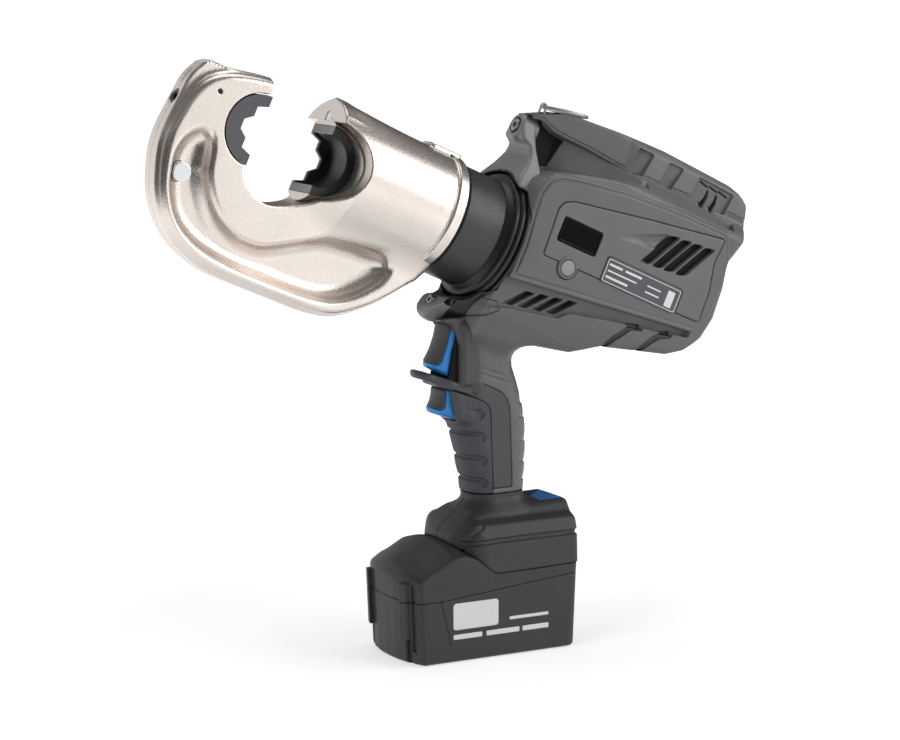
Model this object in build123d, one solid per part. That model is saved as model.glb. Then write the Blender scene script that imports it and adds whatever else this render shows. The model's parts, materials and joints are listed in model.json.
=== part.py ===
from build123d import *
import math
import os

os.makedirs("parts", exist_ok=True)

# Clearances shared by all fits.
RUN = 0.05
GAP = 0.3
FACE = 0.02

# The tool axis rises towards the head.
TILT = 24.5
NOSE_X = 5.3
NOSE_Z = 278.6
AXIS = Pos(NOSE_X, 0, NOSE_Z) * Rot(0, TILT, 0)

# Press head, in the axis frame: x runs back along the axis, z is up from it.
HEAD_R = 39.4
RIM_R = 40.4
RIM_LEN = 4.0
ARCH_X = -134.0
HEAD_REAR = -37.5
WEB_HALF = 16.0
BAND_HALF = 5.0
INSET = 4.5
BORE_R = 28.5
CONE_FRONT = -168.0
CONE_FRONT_R = 19.0
CONE_REAR = -112.0
TIP_X = -184.0
OUTER = [
    (-184, 34), (-196, 32.2), (-208, 30), (-221, 29.4), (-230.5, 25.5), (-236, 15), (-237.5, 0),
    (-238.5, -22.8), (-236.5, -38), (-228.5, -59.4), (-216, -76), (-200, -86.5), (-177, -92.8),
    (-150, -93.2), (-123, -92.6), (-101, -92), (-83, -87.8), (-63.4, -75.2), (-51.6, -60.7), (-40, -44),
]
INSIDE = [(-39.5, -30), (-39.5, 20), (-120, 34)]
THROAT = [
    (-184, -22), (-181.8, -29.8), (-174, -36), (-166.4, -39.3), (-156, -39.8), (-141.8, -34.5),
    (-130, -27), (-124, -18),
]
POCKET = [
    (-214, -14), (-207.5, -20), (-204.5, -28), (-202.6, -35), (-195.7, -47), (-185, -57.9),
    (-170.7, -64.6), (-158.9, -65.5), (-148.3, -63.4), (-129.4, -51.8), (-111.8, -43), (-97.8, -41),
    (-80.4, -40.5), (-67, -40.5), (-60.5, -44), (-61, -49), (-70, -60.8), (-82, -74), (-93.8, -81),
    (-108, -84.5), (-133.5, -86), (-164.7, -86), (-188, -83.8), (-204, -78), (-214, -70.5),
    (-221.5, -60), (-226, -50), (-227.5, -38), (-225.5, -26), (-220.5, -17),
]
POCKET_FLOOR = 5.5

# Dies and ram.
DIE_R = 23.0
DIE_HALF = 15.5
SEAT_R = DIE_R + 0.15
FIXED_FACE = -181.5
DOOR_R = 26.2
DOOR_X = -136.0
NEST_TOP = 16.2
NEST_HALF = [(0, NEST_TOP), (-7.2, 13.6), (-7.2, 7.3), (-12.6, 3.2)]
NEST = NEST_HALF + [(x, -z) for x, z in reversed(NEST_HALF)]
SOCKET = (3.2, 4.0)
RAM_REAR = -56.5
RAM_SLOT_END = -65.4
KEY_HALF = 3.0
KEY_LOW = 26.6
KEY_TOP = 32.0
KEY_REAR = -113.0
SEAL_X = (-61.5, -58.5)
SEAL_FLOOR = 25.5
SPRING_R = 12.0
WIRE_R = 1.4
SPRING_PITCH = 4.6
SPRING_X0 = -97.0
SPRING_TURNS = 21
SPRING_ROOM = 18.5

# Pins in the head.
PLUNGER_R = 4.0
PLUNGER_NOSE = 3.0
PLUNGER_X = (-216.0, -204.9)
SCREW_R = 5.0
SCREW_X = (-236.5, -229.0)
HEX_AF = 5.0
HEX_DEEP = 3.5
RELEASE_AT = (-218.7, -42.7)
RELEASE_R = 6.4
RELEASE_Y = (-13.0, 2.0)
RELEASE_END = 5.5
RELEASE_CHAMFER = 1.6
STOP_AT = (-216.5, 12.4)
STOP_R = 1.5
STOP_SINK = 0.6

# Tube, swivel spigot and front flange.
TUBE_R = 37.6
TUBE_FRONT = -36.1
TUBE_REAR = 16.0
SPIGOT_FRONT = -56.0
OIL_R = 22.0
RETAINER_X = (-43.0, -41.0)
RETAINER_R = (27.0, 29.6)
DUST_R = (33.0, 36.4)
COLLAR_R = 45.0
COLLAR_X = (-6.0, 2.0)
FLANGE_R = 47.0
FLANGE_X = (2.0, 12.0)
TOP_BOLT_V = 77.0
TOP_LUG = [(-1.5, 64), (-7, 76), (-7, 83), (-4.5, 85.3), (4, 90), (12, 93.3), (12, 60), (2, 56)]
TOP_LUG_HALF = 8.0
TOP_LUG_R = 8.6
TOP_LUG_X = -8.0
LOW_BOLT_V = -52.5
LOW_LUG = [(5, -43), (-12, -43), (-15, -48), (-18.5, -58), (-19, -62.5), (-16, -66.5), (-9, -67.5), (5, -66)]
LOW_LUG_HALF = 7.6
LOW_NECK_R = 12.0
NECK_R = 10.0
BOLT_R = 3.0
BOLT_HEAD_R = 5.2
BOLT_HEAD = 4.5
BOLT_REACH = 6.0
TOP_SEAT = -4.0
LOW_SEAT = -11.5
SPLIT_HALF = 3.0

# Housing body, in the axis frame.
BODY_FRONT = 12.0
BODY = [
    (12, 93.3), (18, 95), (46, 100.5), (100, 104.5), (158, 102), (169, 94), (175, 76), (171, 50), (173.5, 32),
    (173.5, 10), (169, -8), (160, -20), (133, -28), (99, -38.4), (81, -50), (56, -55), (42, -61), (12, -64),
]
CROSS = [(14, 105), (23, 101), (26, 96), (28, 77), (42, 66), (42, -6), (40, -22), (34, -45), (24, -66)]
REAR_PLAN = [(0, -46), (150, -46), (164, -40), (176, -27)]
WALL = 3.0
SHELF = [(8, 55), (86, 71), (86, 130), (8, 130)]
RAIL_PLAN = [(8, 11), (86, 28), (86, 70), (8, 70)]
PANEL = [(27, 2), (29, 38), (40, 44), (100, 52), (157, 61), (160, 34), (160, 2)]
PANEL_OUT = 42.5
PANEL_BED = 40.5
BUTTON_AT = (47.7, -0.4)
BUTTON_R = 5.2
BUTTON_RIM = 7.4
DISPLAY = (32.3, 64.0, 13.8, 30.2)
PLATE = (74.3, 139.0, 0.8, 18.4)
SCREWS = [(150, 86, 25), (95, 90, 25), (157, -5, 38.5), (75, -43, 33)]
LEVEL_SCREW = (22, 178, 17)
POST_R = 4.2
SCREW_SHANK = 1.7
SCREW_HEAD = 3.2
LOUVRE_X = (108, 121, 134, 147)
LOUVRE_Z = (21, 39)
LOUVRE_LEAN = 7
LOUVRE_W = 5
SLOT_X = (19, 31, 43, 55)
SLOT_Z = (-31, -25)
SLOT_LEAN = 5
SLOT_W = 5
DISPLAY_DEEP = 0.8
DISPLAY_PROUD = 0.2
PLATE_T = 0.4
BUTTON_PROUD = 1.6

# Handle sections in the level frame: height, front, back, half width.
SECTIONS = [
    (94, -8, 36, 17.0), (118, -9.5, 37.5, 17.5), (140, -13, 37.5, 17.5), (158, -17, 35, 17.5),
    (185, -14, 30, 18.0), (212, -12, 30, 20.0), (238, -10, 34, 22.0),
]
GRIP_Z = (106.0, 156.2)
GRIP_T = 2.5

# Trigger frame, fin and triggers in the level frame.
FRAME = [
    (-30, 231), (-25, 222), (-22.5, 205), (-22, 186), (-21, 158), (-9, 157), (-9, 226), (-6, 236), (-20, 240),
]
FRAME_HALF = 17.0
FIN = [
    (-15, 179.5), (-15, 185), (-34, 187.5), (-46, 193), (-48, 191.5), (-47, 189), (-36, 183.5), (-22, 180),
]
FIN_HALF = 14.0
TRIGGER_HALF = 10.8
TRIGGER_REAR = -14.0
TRIGGER_ROOM = -4.5
UPPER_SEAM = [(-36.8, 196), (-31, 194.3), (-28, 203), (-25, 213), (-22.5, 222)]
UPPER_PAD = [(-27, 222.5), (-30.5, 213), (-33, 203)] + UPPER_SEAM
UPPER_CORE = UPPER_SEAM[::-1] + [(-36, 191.5), (-24, 189.8), (-14, 190.5), (-14, 221.5)]
LOWER_SEAM = [(-33.6, 165), (-29, 163.5), (-26.5, 170), (-25.5, 178.3)]
LOWER_PAD = [(-30, 179.2), (-29, 174), (-30, 169)] + LOWER_SEAM
LOWER_CORE = LOWER_SEAM[::-1] + [(-33, 161.5), (-22, 159.7), (-14, 161), (-14, 177)]
UPPER_SLOT = (189.0, 223.5)
LOWER_SLOT = (159.0, 178.8)
UPPER_TRAVEL = 6.0
LOWER_TRAVEL = 5.0
UPPER_STEM_Z = 206.0
LOWER_STEM_Z = 169.0
STEM_HALF = (4.0, 3.0)
STEM_LEN = 6.0
SWITCH_X = TRIGGER_REAR + STEM_LEN + UPPER_TRAVEL + 0.6
SWITCH_UPPER = (15.4, 196.0, 214.0)
SWITCH_LOWER = (11.4, 162.0, 176.0)
SWITCH_BRIDGE = (3.4, 9.4, 3.0)

# Foot and battery pack in the level frame.
PACK_L = 116.0
PACK_W = 75.0
PACK_WALL = 2.5
CASE_Z = 44.0
DECK_Z = 56.9
FOOT = [
    (-24.5, 77.3), (-24.5, 89), (-18, 97), (-9, 102), (-9, 106), (36, 106), (42, 105), (56, 98), (61.5, 90),
    (62.5, 78), (61, 57.2), (0, 57.2), (-20.5, 71),
]
FOOT_CROSS = [(17, 106), (19.5, 98.5), (25, 92), (31, 86), (34.5, 78), (35.5, 57)]
NOSE = [
    (-58, CASE_Z), (-58, 54), (-55, 57.5), (-25, 76.8), (-24.8, 76.6), (-20.8, 70.7), (-0.3, DECK_Z),
    (58, DECK_Z), (58, CASE_Z),
]
RAIL_HALF = 26.9
RAIL_NECK = 22.9
RAIL_Z = (61.8, 72.7)
RAIL_X = (-18.0, 50.0)
CELL_R = 9.2
CELL_L = 65.0
CELL_PITCH = 19.0
LABEL = (-34.0, 0.0, 22.0, 40.0)
LATCH = [(41, 105.6), (44, 105.6), (59, 97.6), (59, 88), (41, 88)]
LATCH_HALF = 11.0
LATCH_TRAVEL = 4.0
PACK_CORNER = 6.0
PACK_CHAMFER = 1.5
LABEL_T = 0.3
BOARD_T = 1.6
PACK_BOARD = (-40.0, 45.0, 25.0)
TERMINAL_LEN = 24.0
TERMINAL_HALF = 19.0
TERMINAL_Z = (60.0, 72.0)
CONTACT_Y = (-15, -5, 5, 15)
CONTACT_SLOT = (2.0, 62.0, 70.0)
CONTACT_BLADE = (1.0, 63.0, 69.0)
CONTACT_X = (34.0, 52.0, 56.0)
CONTACT_Z = (61.0, 71.0)
CHANNEL_END = 52.0
FOOT_ROOM = (-18.0, 40.0, 24.0, 93.0)
FOOT_ROOF = 3.0

# Hang ring on the top rail.
RING_R = 16.7
RING_WIRE = 1.4
RING_AT = (10.6, 98.2)
RING_SLOPE = 7.5
LUG_HOLE = 2.0
LUG_R = 3.4
LUG_X = (RING_AT[0] - LUG_R, RING_AT[0] + LUG_R)
LUG_HALF = 2.6

# Drive train on the tool axis.
PUMP_R = 34.0
PUMP_X = (16.0, 46.0)
GEAR_X = (46.0, 92.0)
GEAR_R = (23.6, 30.0)
CAN_X = (92.0, 144.0)
CAN_R = (17.5, 19.2)
POLE_R = 14.2
CAP_X = (144.0, 149.0)
SHAFT_R = 2.5
ROTOR_R = 13.8
MODULE = 0.9
SUN_T = 12
PLANET_T = 18
RING_T = 48
TEETH_X = (74.0, 84.0)
ORBIT_R = MODULE * (SUN_T + PLANET_T) / 2
PIN_R = 2.0
DISC_X = (68.0, 72.5)
NECK_X = (60.0, 68.0)
NECK_SHAFT_R = 7.0
WALL_X = (62.0, 66.0)
CAM_X = (48.0, 60.0)
CAM_R = 6.0
CAM_OFF = 2.5
CAM_RING_R = 10.0
PUMP_PIN_R = 5.0
PUMP_WELL = (16.0, 12.0)
CAM_WELL = (8.0, 6.0)
CAN_LIP = 3.0
CAN_RELIEF = (3.0, 10.0, 12.0)
ROTOR_X = (103.0, 130.0)
FAN_X = (134.0, 140.0)
FAN_HUB = 7.0
FAN_R = 16.0
BLADES = 8
BLADE_T = 1.6
BLADDER = (98.0, 148.0, 19.3, 50.0)
BLADDER_HALF = 22.0
BLADDER_EDGE = 4.0
VALVE_R = 4.0
VALVE_LEN = 7.0
VALVE_X = 31.0
BOARD = (62.0, 150.0, 8.0, 44.0)


def block(x0, x1, y0, y1, z0, z1):
    return Pos((x0 + x1) / 2, (y0 + y1) / 2, (z0 + z1) / 2) * Box(x1 - x0, y1 - y0, z1 - z0)


def rod_x(r, x0, x1, y=0, z=0):
    return Pos((x0 + x1) / 2, y, z) * Rot(0, 90, 0) * Cylinder(r, x1 - x0)


def rod_y(r, y0, y1, x, z):
    return Pos(x, (y0 + y1) / 2, z) * Rot(90, 0, 0) * Cylinder(r, y1 - y0)


def rod_z(r, z0, z1, x, y):
    return Pos(x, y, (z0 + z1) / 2) * Cylinder(r, z1 - z0)


def tube_x(ro, ri, x0, x1, y=0, z=0):
    return rod_x(ro, x0, x1, y, z) - rod_x(ri, x0 - 1, x1 + 1, y, z)


def slab(points, y0, y1, grow=0.0):
    outline = Polygon(*points, align=None)
    if grow:
        outline = offset(outline, amount=grow, kind=Kind.INTERSECTION)
    return extrude(Pos(0, y0, 0) * (Plane.XZ * outline), amount=y1 - y0, dir=(0, 1, 0))


def bar(half_points, x0, x1, grow=0.0):
    right = [(-y, z) for y, z in reversed(half_points)]
    outline = Polygon(*(list(half_points) + right), align=None)
    if grow:
        outline = offset(outline, amount=grow, kind=Kind.INTERSECTION)
    return extrude(Pos(x0, 0, 0) * (Plane.YZ * outline), amount=x1 - x0, dir=(1, 0, 0))


def plan(points, z0, z1, grow=0.0):
    outline = Polygon(*points, align=None)
    if grow:
        outline = offset(outline, amount=grow, kind=Kind.INTERSECTION)
    return extrude(Pos(0, 0, z0) * outline, amount=z1 - z0, dir=(0, 0, 1))


def both(shape):
    return shape + mirror(shape, about=Plane.XZ)


def smooth_face(spline_points, line_points):
    ends = [spline_points[-1]] + list(line_points) + [spline_points[0]]
    edge = Spline(*[(x, 0, z) for x, z in spline_points])
    lines = Polyline(*[(x, 0, z) for x, z in ends])
    return make_face(Curve() + edge + lines)


def inward(points, depth):
    moved = []
    for i, (x, z) in enumerate(points):
        x0, z0 = points[max(i - 1, 0)]
        x1, z1 = points[min(i + 1, len(points) - 1)]
        length = math.hypot(x1 - x0, z1 - z0)
        moved.append((x - depth * (z1 - z0) / length, z + depth * (x1 - x0) / length))
    return moved


def ring_slab(spline_points, y0, y1):
    edge = Spline(*[(x, 0, z) for x, z in spline_points], periodic=True)
    face = make_face(Curve() + edge)
    return extrude(Pos(0, y0, 0) * face, amount=y1 - y0, dir=(0, 1, 0))


def neck(z0, r0, z1, r1, x0, x1):
    span = abs(z1 - z0)
    way = 1 if z1 > z0 else -1
    lean = math.asin((r0 - r1) / span)
    y_a, z_a = r0 * math.cos(lean), z0 + way * r0 * math.sin(lean)
    y_b, z_b = r1 * math.cos(lean), z1 + way * r1 * math.sin(lean)
    web = bar([(y_a, z_a), (y_b, z_b)], x0, x1)
    return web + rod_x(r1, x0, x1, 0, z1)


def handle(z0, z1, grow=0.0):
    rings = []
    for z, front, back, half in SECTIONS:
        depth = back - front + 2 * grow
        width = 2 * half + 2 * grow
        oval = RectangleRounded(depth, width, width / 2 - 1)
        rings.append(Pos((front + back) / 2, 0, z) * oval)
    return loft(rings) & block(-100, 100, -60, 60, z0, z1)


def gear_outline(teeth, tip, root, turn=0.0):
    step = 2 * math.pi / teeth
    points = []
    for i in range(teeth):
        mid = turn + i * step
        for share, radius in ((-0.31, root), (-0.13, tip), (0.13, tip), (0.31, root)):
            angle = mid + share * step
            points.append((radius * math.cos(angle), radius * math.sin(angle)))
    return points


def gear(teeth, x0, x1, turn=0.0):
    pitch = MODULE * teeth / 2
    points = gear_outline(teeth, pitch + 0.8 * MODULE, pitch - 1.15 * MODULE, turn)
    outline = Polygon(*points, align=None)
    return extrude(Pos(x0, 0, 0) * (Plane.YZ * outline), amount=x1 - x0, dir=(1, 0, 0))


def half(shape, side):
    if side < 0:
        return shape & block(-400, 400, -100, -FACE, -400, 600)
    return shape & block(-400, 400, FACE, 100, -400, 600)


def save(name, *shapes):
    solids = []
    for shape in shapes:
        solids.extend(shape.solids())
    result = solids[0] if len(solids) == 1 else Compound(children=solids)
    export_step(result, f"parts/{name}.step")
    print(name, len(solids), round(sum(s.volume for s in solids) / 1000, 1))


# Press head: a C-shaped web that grows into a cylinder, with the mouth, bore and side pockets cut from it.
inset = inward(OUTER, INSET)
web = extrude(smooth_face(OUTER, INSIDE), amount=BAND_HALF, both=True)
flank = [Pos(0, -BAND_HALF, 0) * smooth_face(OUTER, INSIDE), Pos(0, -WEB_HALF, 0) * smooth_face(inset, INSIDE)]
web += both(loft(flank, ruled=True))
cone_len = CONE_REAR - CONE_FRONT
cone = Pos((CONE_FRONT + CONE_REAR) / 2, 0, 0) * Rot(0, 90, 0) * Cone(CONE_FRONT_R, HEAD_R, cone_len)
barrel = rod_x(HEAD_R, CONE_REAR, HEAD_REAR) + rod_x(RIM_R, HEAD_REAR - RIM_LEN, HEAD_REAR)
top_front = rod_x(HEAD_R, ARCH_X, CONE_REAR) & block(ARCH_X, CONE_REAR, -60, 60, 0, 60)
mouth = extrude(smooth_face(THROAT, [(-124, 0), (-184, 0)]), amount=60, both=True)
mouth += block(TIP_X, ARCH_X, -60, 60, -22, 90)
mouth += rod_y(SEAT_R, -60, 60, FIXED_FACE, 0)
mouth += rod_y(DOOR_R, -60, 60, DOOR_X, 0)
head = web + cone + barrel + top_front - mouth - rod_x(BORE_R, ARCH_X - 10, HEAD_REAR + 1)
head -= both(ring_slab(POCKET, -40, -POCKET_FLOOR) - rod_x(HEAD_R, -240, 0))
head -= block(ARCH_X - 1, KEY_REAR + GAP, -KEY_HALF - FACE, KEY_HALF + FACE, 20, KEY_TOP + FACE)
head -= tube_x(RETAINER_R[1] + GAP, BORE_R - 1, RETAINER_X[0] - GAP, RETAINER_X[1] + GAP)
head -= rod_x(PLUNGER_R + RUN, SCREW_X[1], -190)
head -= rod_x(SCREW_R + FACE, -250, SCREW_X[1])
head -= rod_y(RELEASE_R + RUN, -30, RELEASE_END, *RELEASE_AT)
head -= rod_y(STOP_R + FACE, -30, 30, *STOP_AT)
save("head_frame", AXIS * head)

nest = [(FIXED_FACE + x, z) for x, z in NEST]
fixed_die = rod_y(DIE_R, -DIE_HALF, DIE_HALF, FIXED_FACE, 0) & block(-260, FIXED_FACE, -40, 40, -40, 40)
fixed_die -= slab(nest + [(FIXED_FACE + 5, -NEST_TOP), (FIXED_FACE + 5, NEST_TOP)], -40, 40)
fixed_die -= rod_x(PLUNGER_NOSE + GAP, -230, FIXED_FACE - DIE_R + SOCKET[1])
save("fixed_die", AXIS * fixed_die)

plunger = rod_x(PLUNGER_R, *PLUNGER_X) + rod_x(PLUNGER_NOSE, PLUNGER_X[1], FIXED_FACE - DIE_R + SOCKET[0])
save("die_plunger", AXIS * plunger)

hexagon = RegularPolygon(HEX_AF / 2, 6, major_radius=False)
socket = extrude(Pos(SCREW_X[0] - 1, 0, 0) * (Plane.YZ * hexagon), amount=HEX_DEEP + 1, dir=(1, 0, 0))
save("plunger_screw", AXIS * (rod_x(SCREW_R, *SCREW_X) - socket))

release = rod_y(RELEASE_R, *RELEASE_Y, *RELEASE_AT)
release = chamfer(release.faces().sort_by(Axis.Y)[0].edges(), RELEASE_CHAMFER)
save("release_pin", AXIS * release)
save("stop_pin", AXIS * rod_y(STOP_R, -WEB_HALF + STOP_SINK, WEB_HALF - STOP_SINK, *STOP_AT))
save("ram_key", AXIS * block(ARCH_X + 0.4, KEY_REAR, -KEY_HALF, KEY_HALF, KEY_LOW, KEY_TOP))

# Ram with its die, seal and return spring.
ram = rod_x(BORE_R - RUN, ARCH_X, RAM_REAR) - rod_y(SEAT_R, -60, 60, ARCH_X, 0)
ram -= block(ARCH_X - 1, RAM_SLOT_END, -KEY_HALF - GAP, KEY_HALF + GAP, KEY_LOW - GAP, 40)
ram -= rod_x(SPRING_ROOM, SPRING_X0 - WIRE_R - GAP, RAM_REAR + 1)
ram -= tube_x(BORE_R + 1, SEAL_FLOOR, *SEAL_X)
save("ram", AXIS * ram)

moving = [(ARCH_X - x, z) for x, z in NEST]
moving_die = rod_y(DIE_R, -DIE_HALF, DIE_HALF, ARCH_X, 0) & block(ARCH_X, 0, -40, 40, -40, 40)
moving_die -= slab(moving + [(ARCH_X - 5, -NEST_TOP), (ARCH_X - 5, NEST_TOP)], -40, 40)
save("moving_die", AXIS * moving_die)
save("ram_seal", AXIS * tube_x(BORE_R - RUN, SEAL_FLOOR + FACE, SEAL_X[0] + FACE, SEAL_X[1] - FACE))

coil = Helix(SPRING_PITCH, SPRING_PITCH * SPRING_TURNS, SPRING_R)
wire = Plane(origin=coil @ 0, z_dir=coil % 0) * Circle(WIRE_R)
spring = sweep(wire, path=coil)
save("return_spring", AXIS * (Pos(SPRING_X0, 0, 0) * Rot(0, 90, 0) * spring))
print("spring gap", SPRING_PITCH - 2 * WIRE_R)

# Tube with the spigot that the head turns on.
spigot = rod_x(BORE_R - RUN, SPIGOT_FRONT, TUBE_FRONT)
tube = rod_x(TUBE_R, TUBE_FRONT, TUBE_REAR) + spigot - rod_x(OIL_R, SPIGOT_FRONT - 1, TUBE_REAR + 1)
tube -= tube_x(BORE_R + 1, RETAINER_R[0], *RETAINER_X)
save("cylinder_tube", AXIS * tube)
keeper = tube_x(RETAINER_R[1], RETAINER_R[0] + FACE, RETAINER_X[0] + FACE, RETAINER_X[1] - FACE)
save("head_retainer", AXIS * (keeper - block(-60, 0, -SPLIT_HALF, SPLIT_HALF, 0, 40)))
save("head_seal", AXIS * tube_x(DUST_R[1], DUST_R[0], HEAD_REAR + GAP, TUBE_FRONT))
save("collar_ring", AXIS * tube_x(COLLAR_R, TUBE_R + FACE, *COLLAR_X))

# Front flange, lugs, trigger frame and fin in one black moulding.
flange = rod_x(FLANGE_R, *FLANGE_X) + neck(0, FLANGE_R, TOP_BOLT_V, NECK_R, *FLANGE_X)
flange += neck(0, FLANGE_R, LOW_BOLT_V, LOW_NECK_R, *FLANGE_X)
flange += slab(TOP_LUG, -TOP_LUG_HALF, TOP_LUG_HALF)
flange += rod_x(TOP_LUG_R, TOP_LUG_X, FLANGE_X[0] + 1, 0, TOP_BOLT_V)
flange += slab(LOW_LUG, -LOW_LUG_HALF, LOW_LUG_HALF)
trigger_frame = slab(FRAME, -FRAME_HALF, FRAME_HALF) + slab(FIN, -FIN_HALF, FIN_HALF)
slot_half = TRIGGER_HALF + GAP
trigger_slots = block(-60, 20, -slot_half, slot_half, *UPPER_SLOT)
trigger_slots += block(-60, 20, -slot_half, slot_half, *LOWER_SLOT)
front = AXIS * flange + trigger_frame - trigger_slots
front -= AXIS * (rod_x(TUBE_R + FACE, -60, 40) + rod_x(COLLAR_R + FACE, -60, COLLAR_X[1]))
for seat, z in ((TOP_SEAT, TOP_BOLT_V), (LOW_SEAT, LOW_BOLT_V)):
    front -= AXIS * (rod_x(BOLT_R + FACE, -40, 40, 0, z) + rod_x(BOLT_HEAD_R + FACE, -40, seat, 0, z))
save("front_frame", front)


def bolt(seat_x, z):
    head_part = rod_x(BOLT_HEAD_R, seat_x - BOLT_HEAD, seat_x, 0, z)
    key = extrude(Pos(seat_x - BOLT_HEAD - 1, 0, z) * (Plane.YZ * hexagon), amount=HEX_DEEP, dir=(1, 0, 0))
    return head_part + rod_x(BOLT_R, seat_x - 0.5, FLANGE_X[1] + BOLT_REACH, 0, z) - key


bolts = [bolt(TOP_SEAT, TOP_BOLT_V), bolt(LOW_SEAT, LOW_BOLT_V)]
save("flange_bolts", *[AXIS * b for b in bolts])


# A slanting cut through the body.
def leaning(x, width, lean, z0, z1):
    return slab([(x, z0), (x + width, z0), (x + width + lean, z1), (x + lean, z1)], -90, 90)


# A post through both halves with a counterbored screw put in from the right.
def screw_set(x, z, reach):
    post = rod_y(POST_R, -reach, reach, x, z)
    hole = rod_y(SCREW_SHANK + FACE, -reach + 6, reach, x, z)
    hole += rod_y(SCREW_HEAD + FACE, reach - 4, 70, x, z)
    screw = rod_y(SCREW_SHANK, -reach + 8, reach - 3, x, z)
    screw += rod_y(SCREW_HEAD, reach - 4 + FACE, reach - 1.5, x, z)
    return post, hole, screw


# Housing body and handle, hollow, split down the middle.
recess = both(slab(SHELF, -90, 90) & plan(RAIL_PLAN, 40, 140))
inner_recess = both(slab(SHELF, -90, 90, WALL) & plan(RAIL_PLAN, 30, 140, WALL))
ends = REAR_PLAN + [(x, -y) for x, y in reversed(REAR_PLAN)]
body = (slab(BODY, -60, 60) & bar(CROSS, 0, 200) & plan(ends, -90, 130)) - recess
room = (slab(BODY, -60, 60, -WALL) & bar(CROSS, 0, 200, -WALL) & plan(ends, -90, 130, -WALL)) - inner_recess
bed = both(slab(PANEL, -70, -PANEL_BED, GAP / 3) + rod_y(BUTTON_RIM + GAP / 3, -70, -PANEL_BED, *BUTTON_AT))
vents = Part()
for x in LOUVRE_X:
    vents += leaning(x - LOUVRE_LEAN, LOUVRE_W, LOUVRE_LEAN, *LOUVRE_Z)
for x in SLOT_X:
    vents += leaning(x - SLOT_LEAN, SLOT_W, SLOT_LEAN, *SLOT_Z)
body -= bed
room -= both(slab(PANEL, -70, -PANEL_BED + WALL, GAP / 3 + WALL))
shell = AXIS * (body - room - vents)
shell -= AXIS * rod_y(BUTTON_R + GAP, -60, -20, *BUTTON_AT)
cavity = AXIS * room
grip_core = handle(94, 240, -GRIP_T)
stem = handle(GRIP_Z[1], 240) + grip_core
hollow = handle(88, 240, -GRIP_T - WALL)
shell = shell - hollow + (stem - cavity - hollow)
shell -= AXIS * recess
posts = Part()
holes = Part()
screws = []
for x, z, reach in SCREWS:
    post, hole, screw = screw_set(x, z, reach)
    posts += AXIS * post
    holes += AXIS * hole
    screws.append(AXIS * screw)
post, hole, screw = screw_set(*LEVEL_SCREW)
posts += post
holes += hole
screws.append(screw)
shell = shell + posts - holes
shell -= front
shell -= trigger_slots & block(-60, TRIGGER_ROOM, -60, 60, 100, 300)
shell -= AXIS * rod_x(TUBE_R + FACE, -60, TUBE_REAR)
shell -= AXIS * rod_x(PUMP_R + FACE, TUBE_REAR - 6, PUMP_X[1] + 1)
for z in (TOP_BOLT_V, LOW_BOLT_V):
    shell -= AXIS * rod_x(BOLT_R + FACE, 0, FLANGE_X[1] + BOLT_REACH + 1, 0, z)
save("housing_left", half(shell, -1))
save("housing_right", half(shell, 1))

# Side panels let into the body, with the display, button and bare plate on the left one.
plain = slab(PANEL, -PANEL_OUT, -PANEL_BED) + rod_y(BUTTON_RIM, -PANEL_OUT, -PANEL_BED, *BUTTON_AT) - vents
x0, x1, z0, z1 = DISPLAY
glass_floor = -PANEL_OUT + DISPLAY_DEEP
panel = plain - rod_y(BUTTON_R + GAP, -60, 0, *BUTTON_AT)
panel -= block(x0 - FACE, x1 + FACE, -60, glass_floor, z0 - FACE, z1 + FACE)
save("panel_left", AXIS * panel)
save("panel_right", AXIS * mirror(plain, about=Plane.XZ))
save("display", AXIS * block(x0, x1, -PANEL_OUT - DISPLAY_PROUD, glass_floor, z0, z1))
x0, x1, z0, z1 = PLATE
save("rating_plate", AXIS * block(x0, x1, -PANEL_OUT - PLATE_T, -PANEL_OUT, z0, z1))
save("panel_button", AXIS * rod_y(BUTTON_R, -PANEL_OUT - BUTTON_PROUD, -PANEL_BED + 1.0, *BUTTON_AT))

# Grip sleeve round the handle.
save("grip_sleeve", handle(GRIP_Z[0] + FACE, GRIP_Z[1] - FACE) - grip_core)


# Triggers: a coloured core with a dark finger pad, and a stem that reaches the switch.
def trigger(core_points, pad_points, stem_z):
    core = slab(core_points, -TRIGGER_HALF, TRIGGER_HALF)
    y, z = STEM_HALF
    core += block(TRIGGER_REAR - 1, TRIGGER_REAR + STEM_LEN, -y, y, stem_z - z, stem_z + z)
    return core, slab(pad_points, -TRIGGER_HALF, TRIGGER_HALF)


upper_core, upper_pad = trigger(UPPER_CORE, UPPER_PAD, UPPER_STEM_Z)
lower_core, lower_pad = trigger(LOWER_CORE, LOWER_PAD, LOWER_STEM_Z)
save("upper_trigger_core", upper_core)
save("upper_trigger_pad", upper_pad)
save("lower_trigger_core", lower_core)
save("lower_trigger_pad", lower_pad)
switch = Part()
for x, z0, z1 in (SWITCH_UPPER, SWITCH_LOWER):
    switch += block(SWITCH_X, SWITCH_X + x, -30, 30, z0, z1)
x0, x1, y = SWITCH_BRIDGE
switch += block(SWITCH_X + x0, SWITCH_X + x1, -y, y, SWITCH_LOWER[2] - 1, SWITCH_UPPER[1] + 1)
save("trigger_switch", switch & handle(88, 240, -GRIP_T - WALL - FACE))

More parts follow.
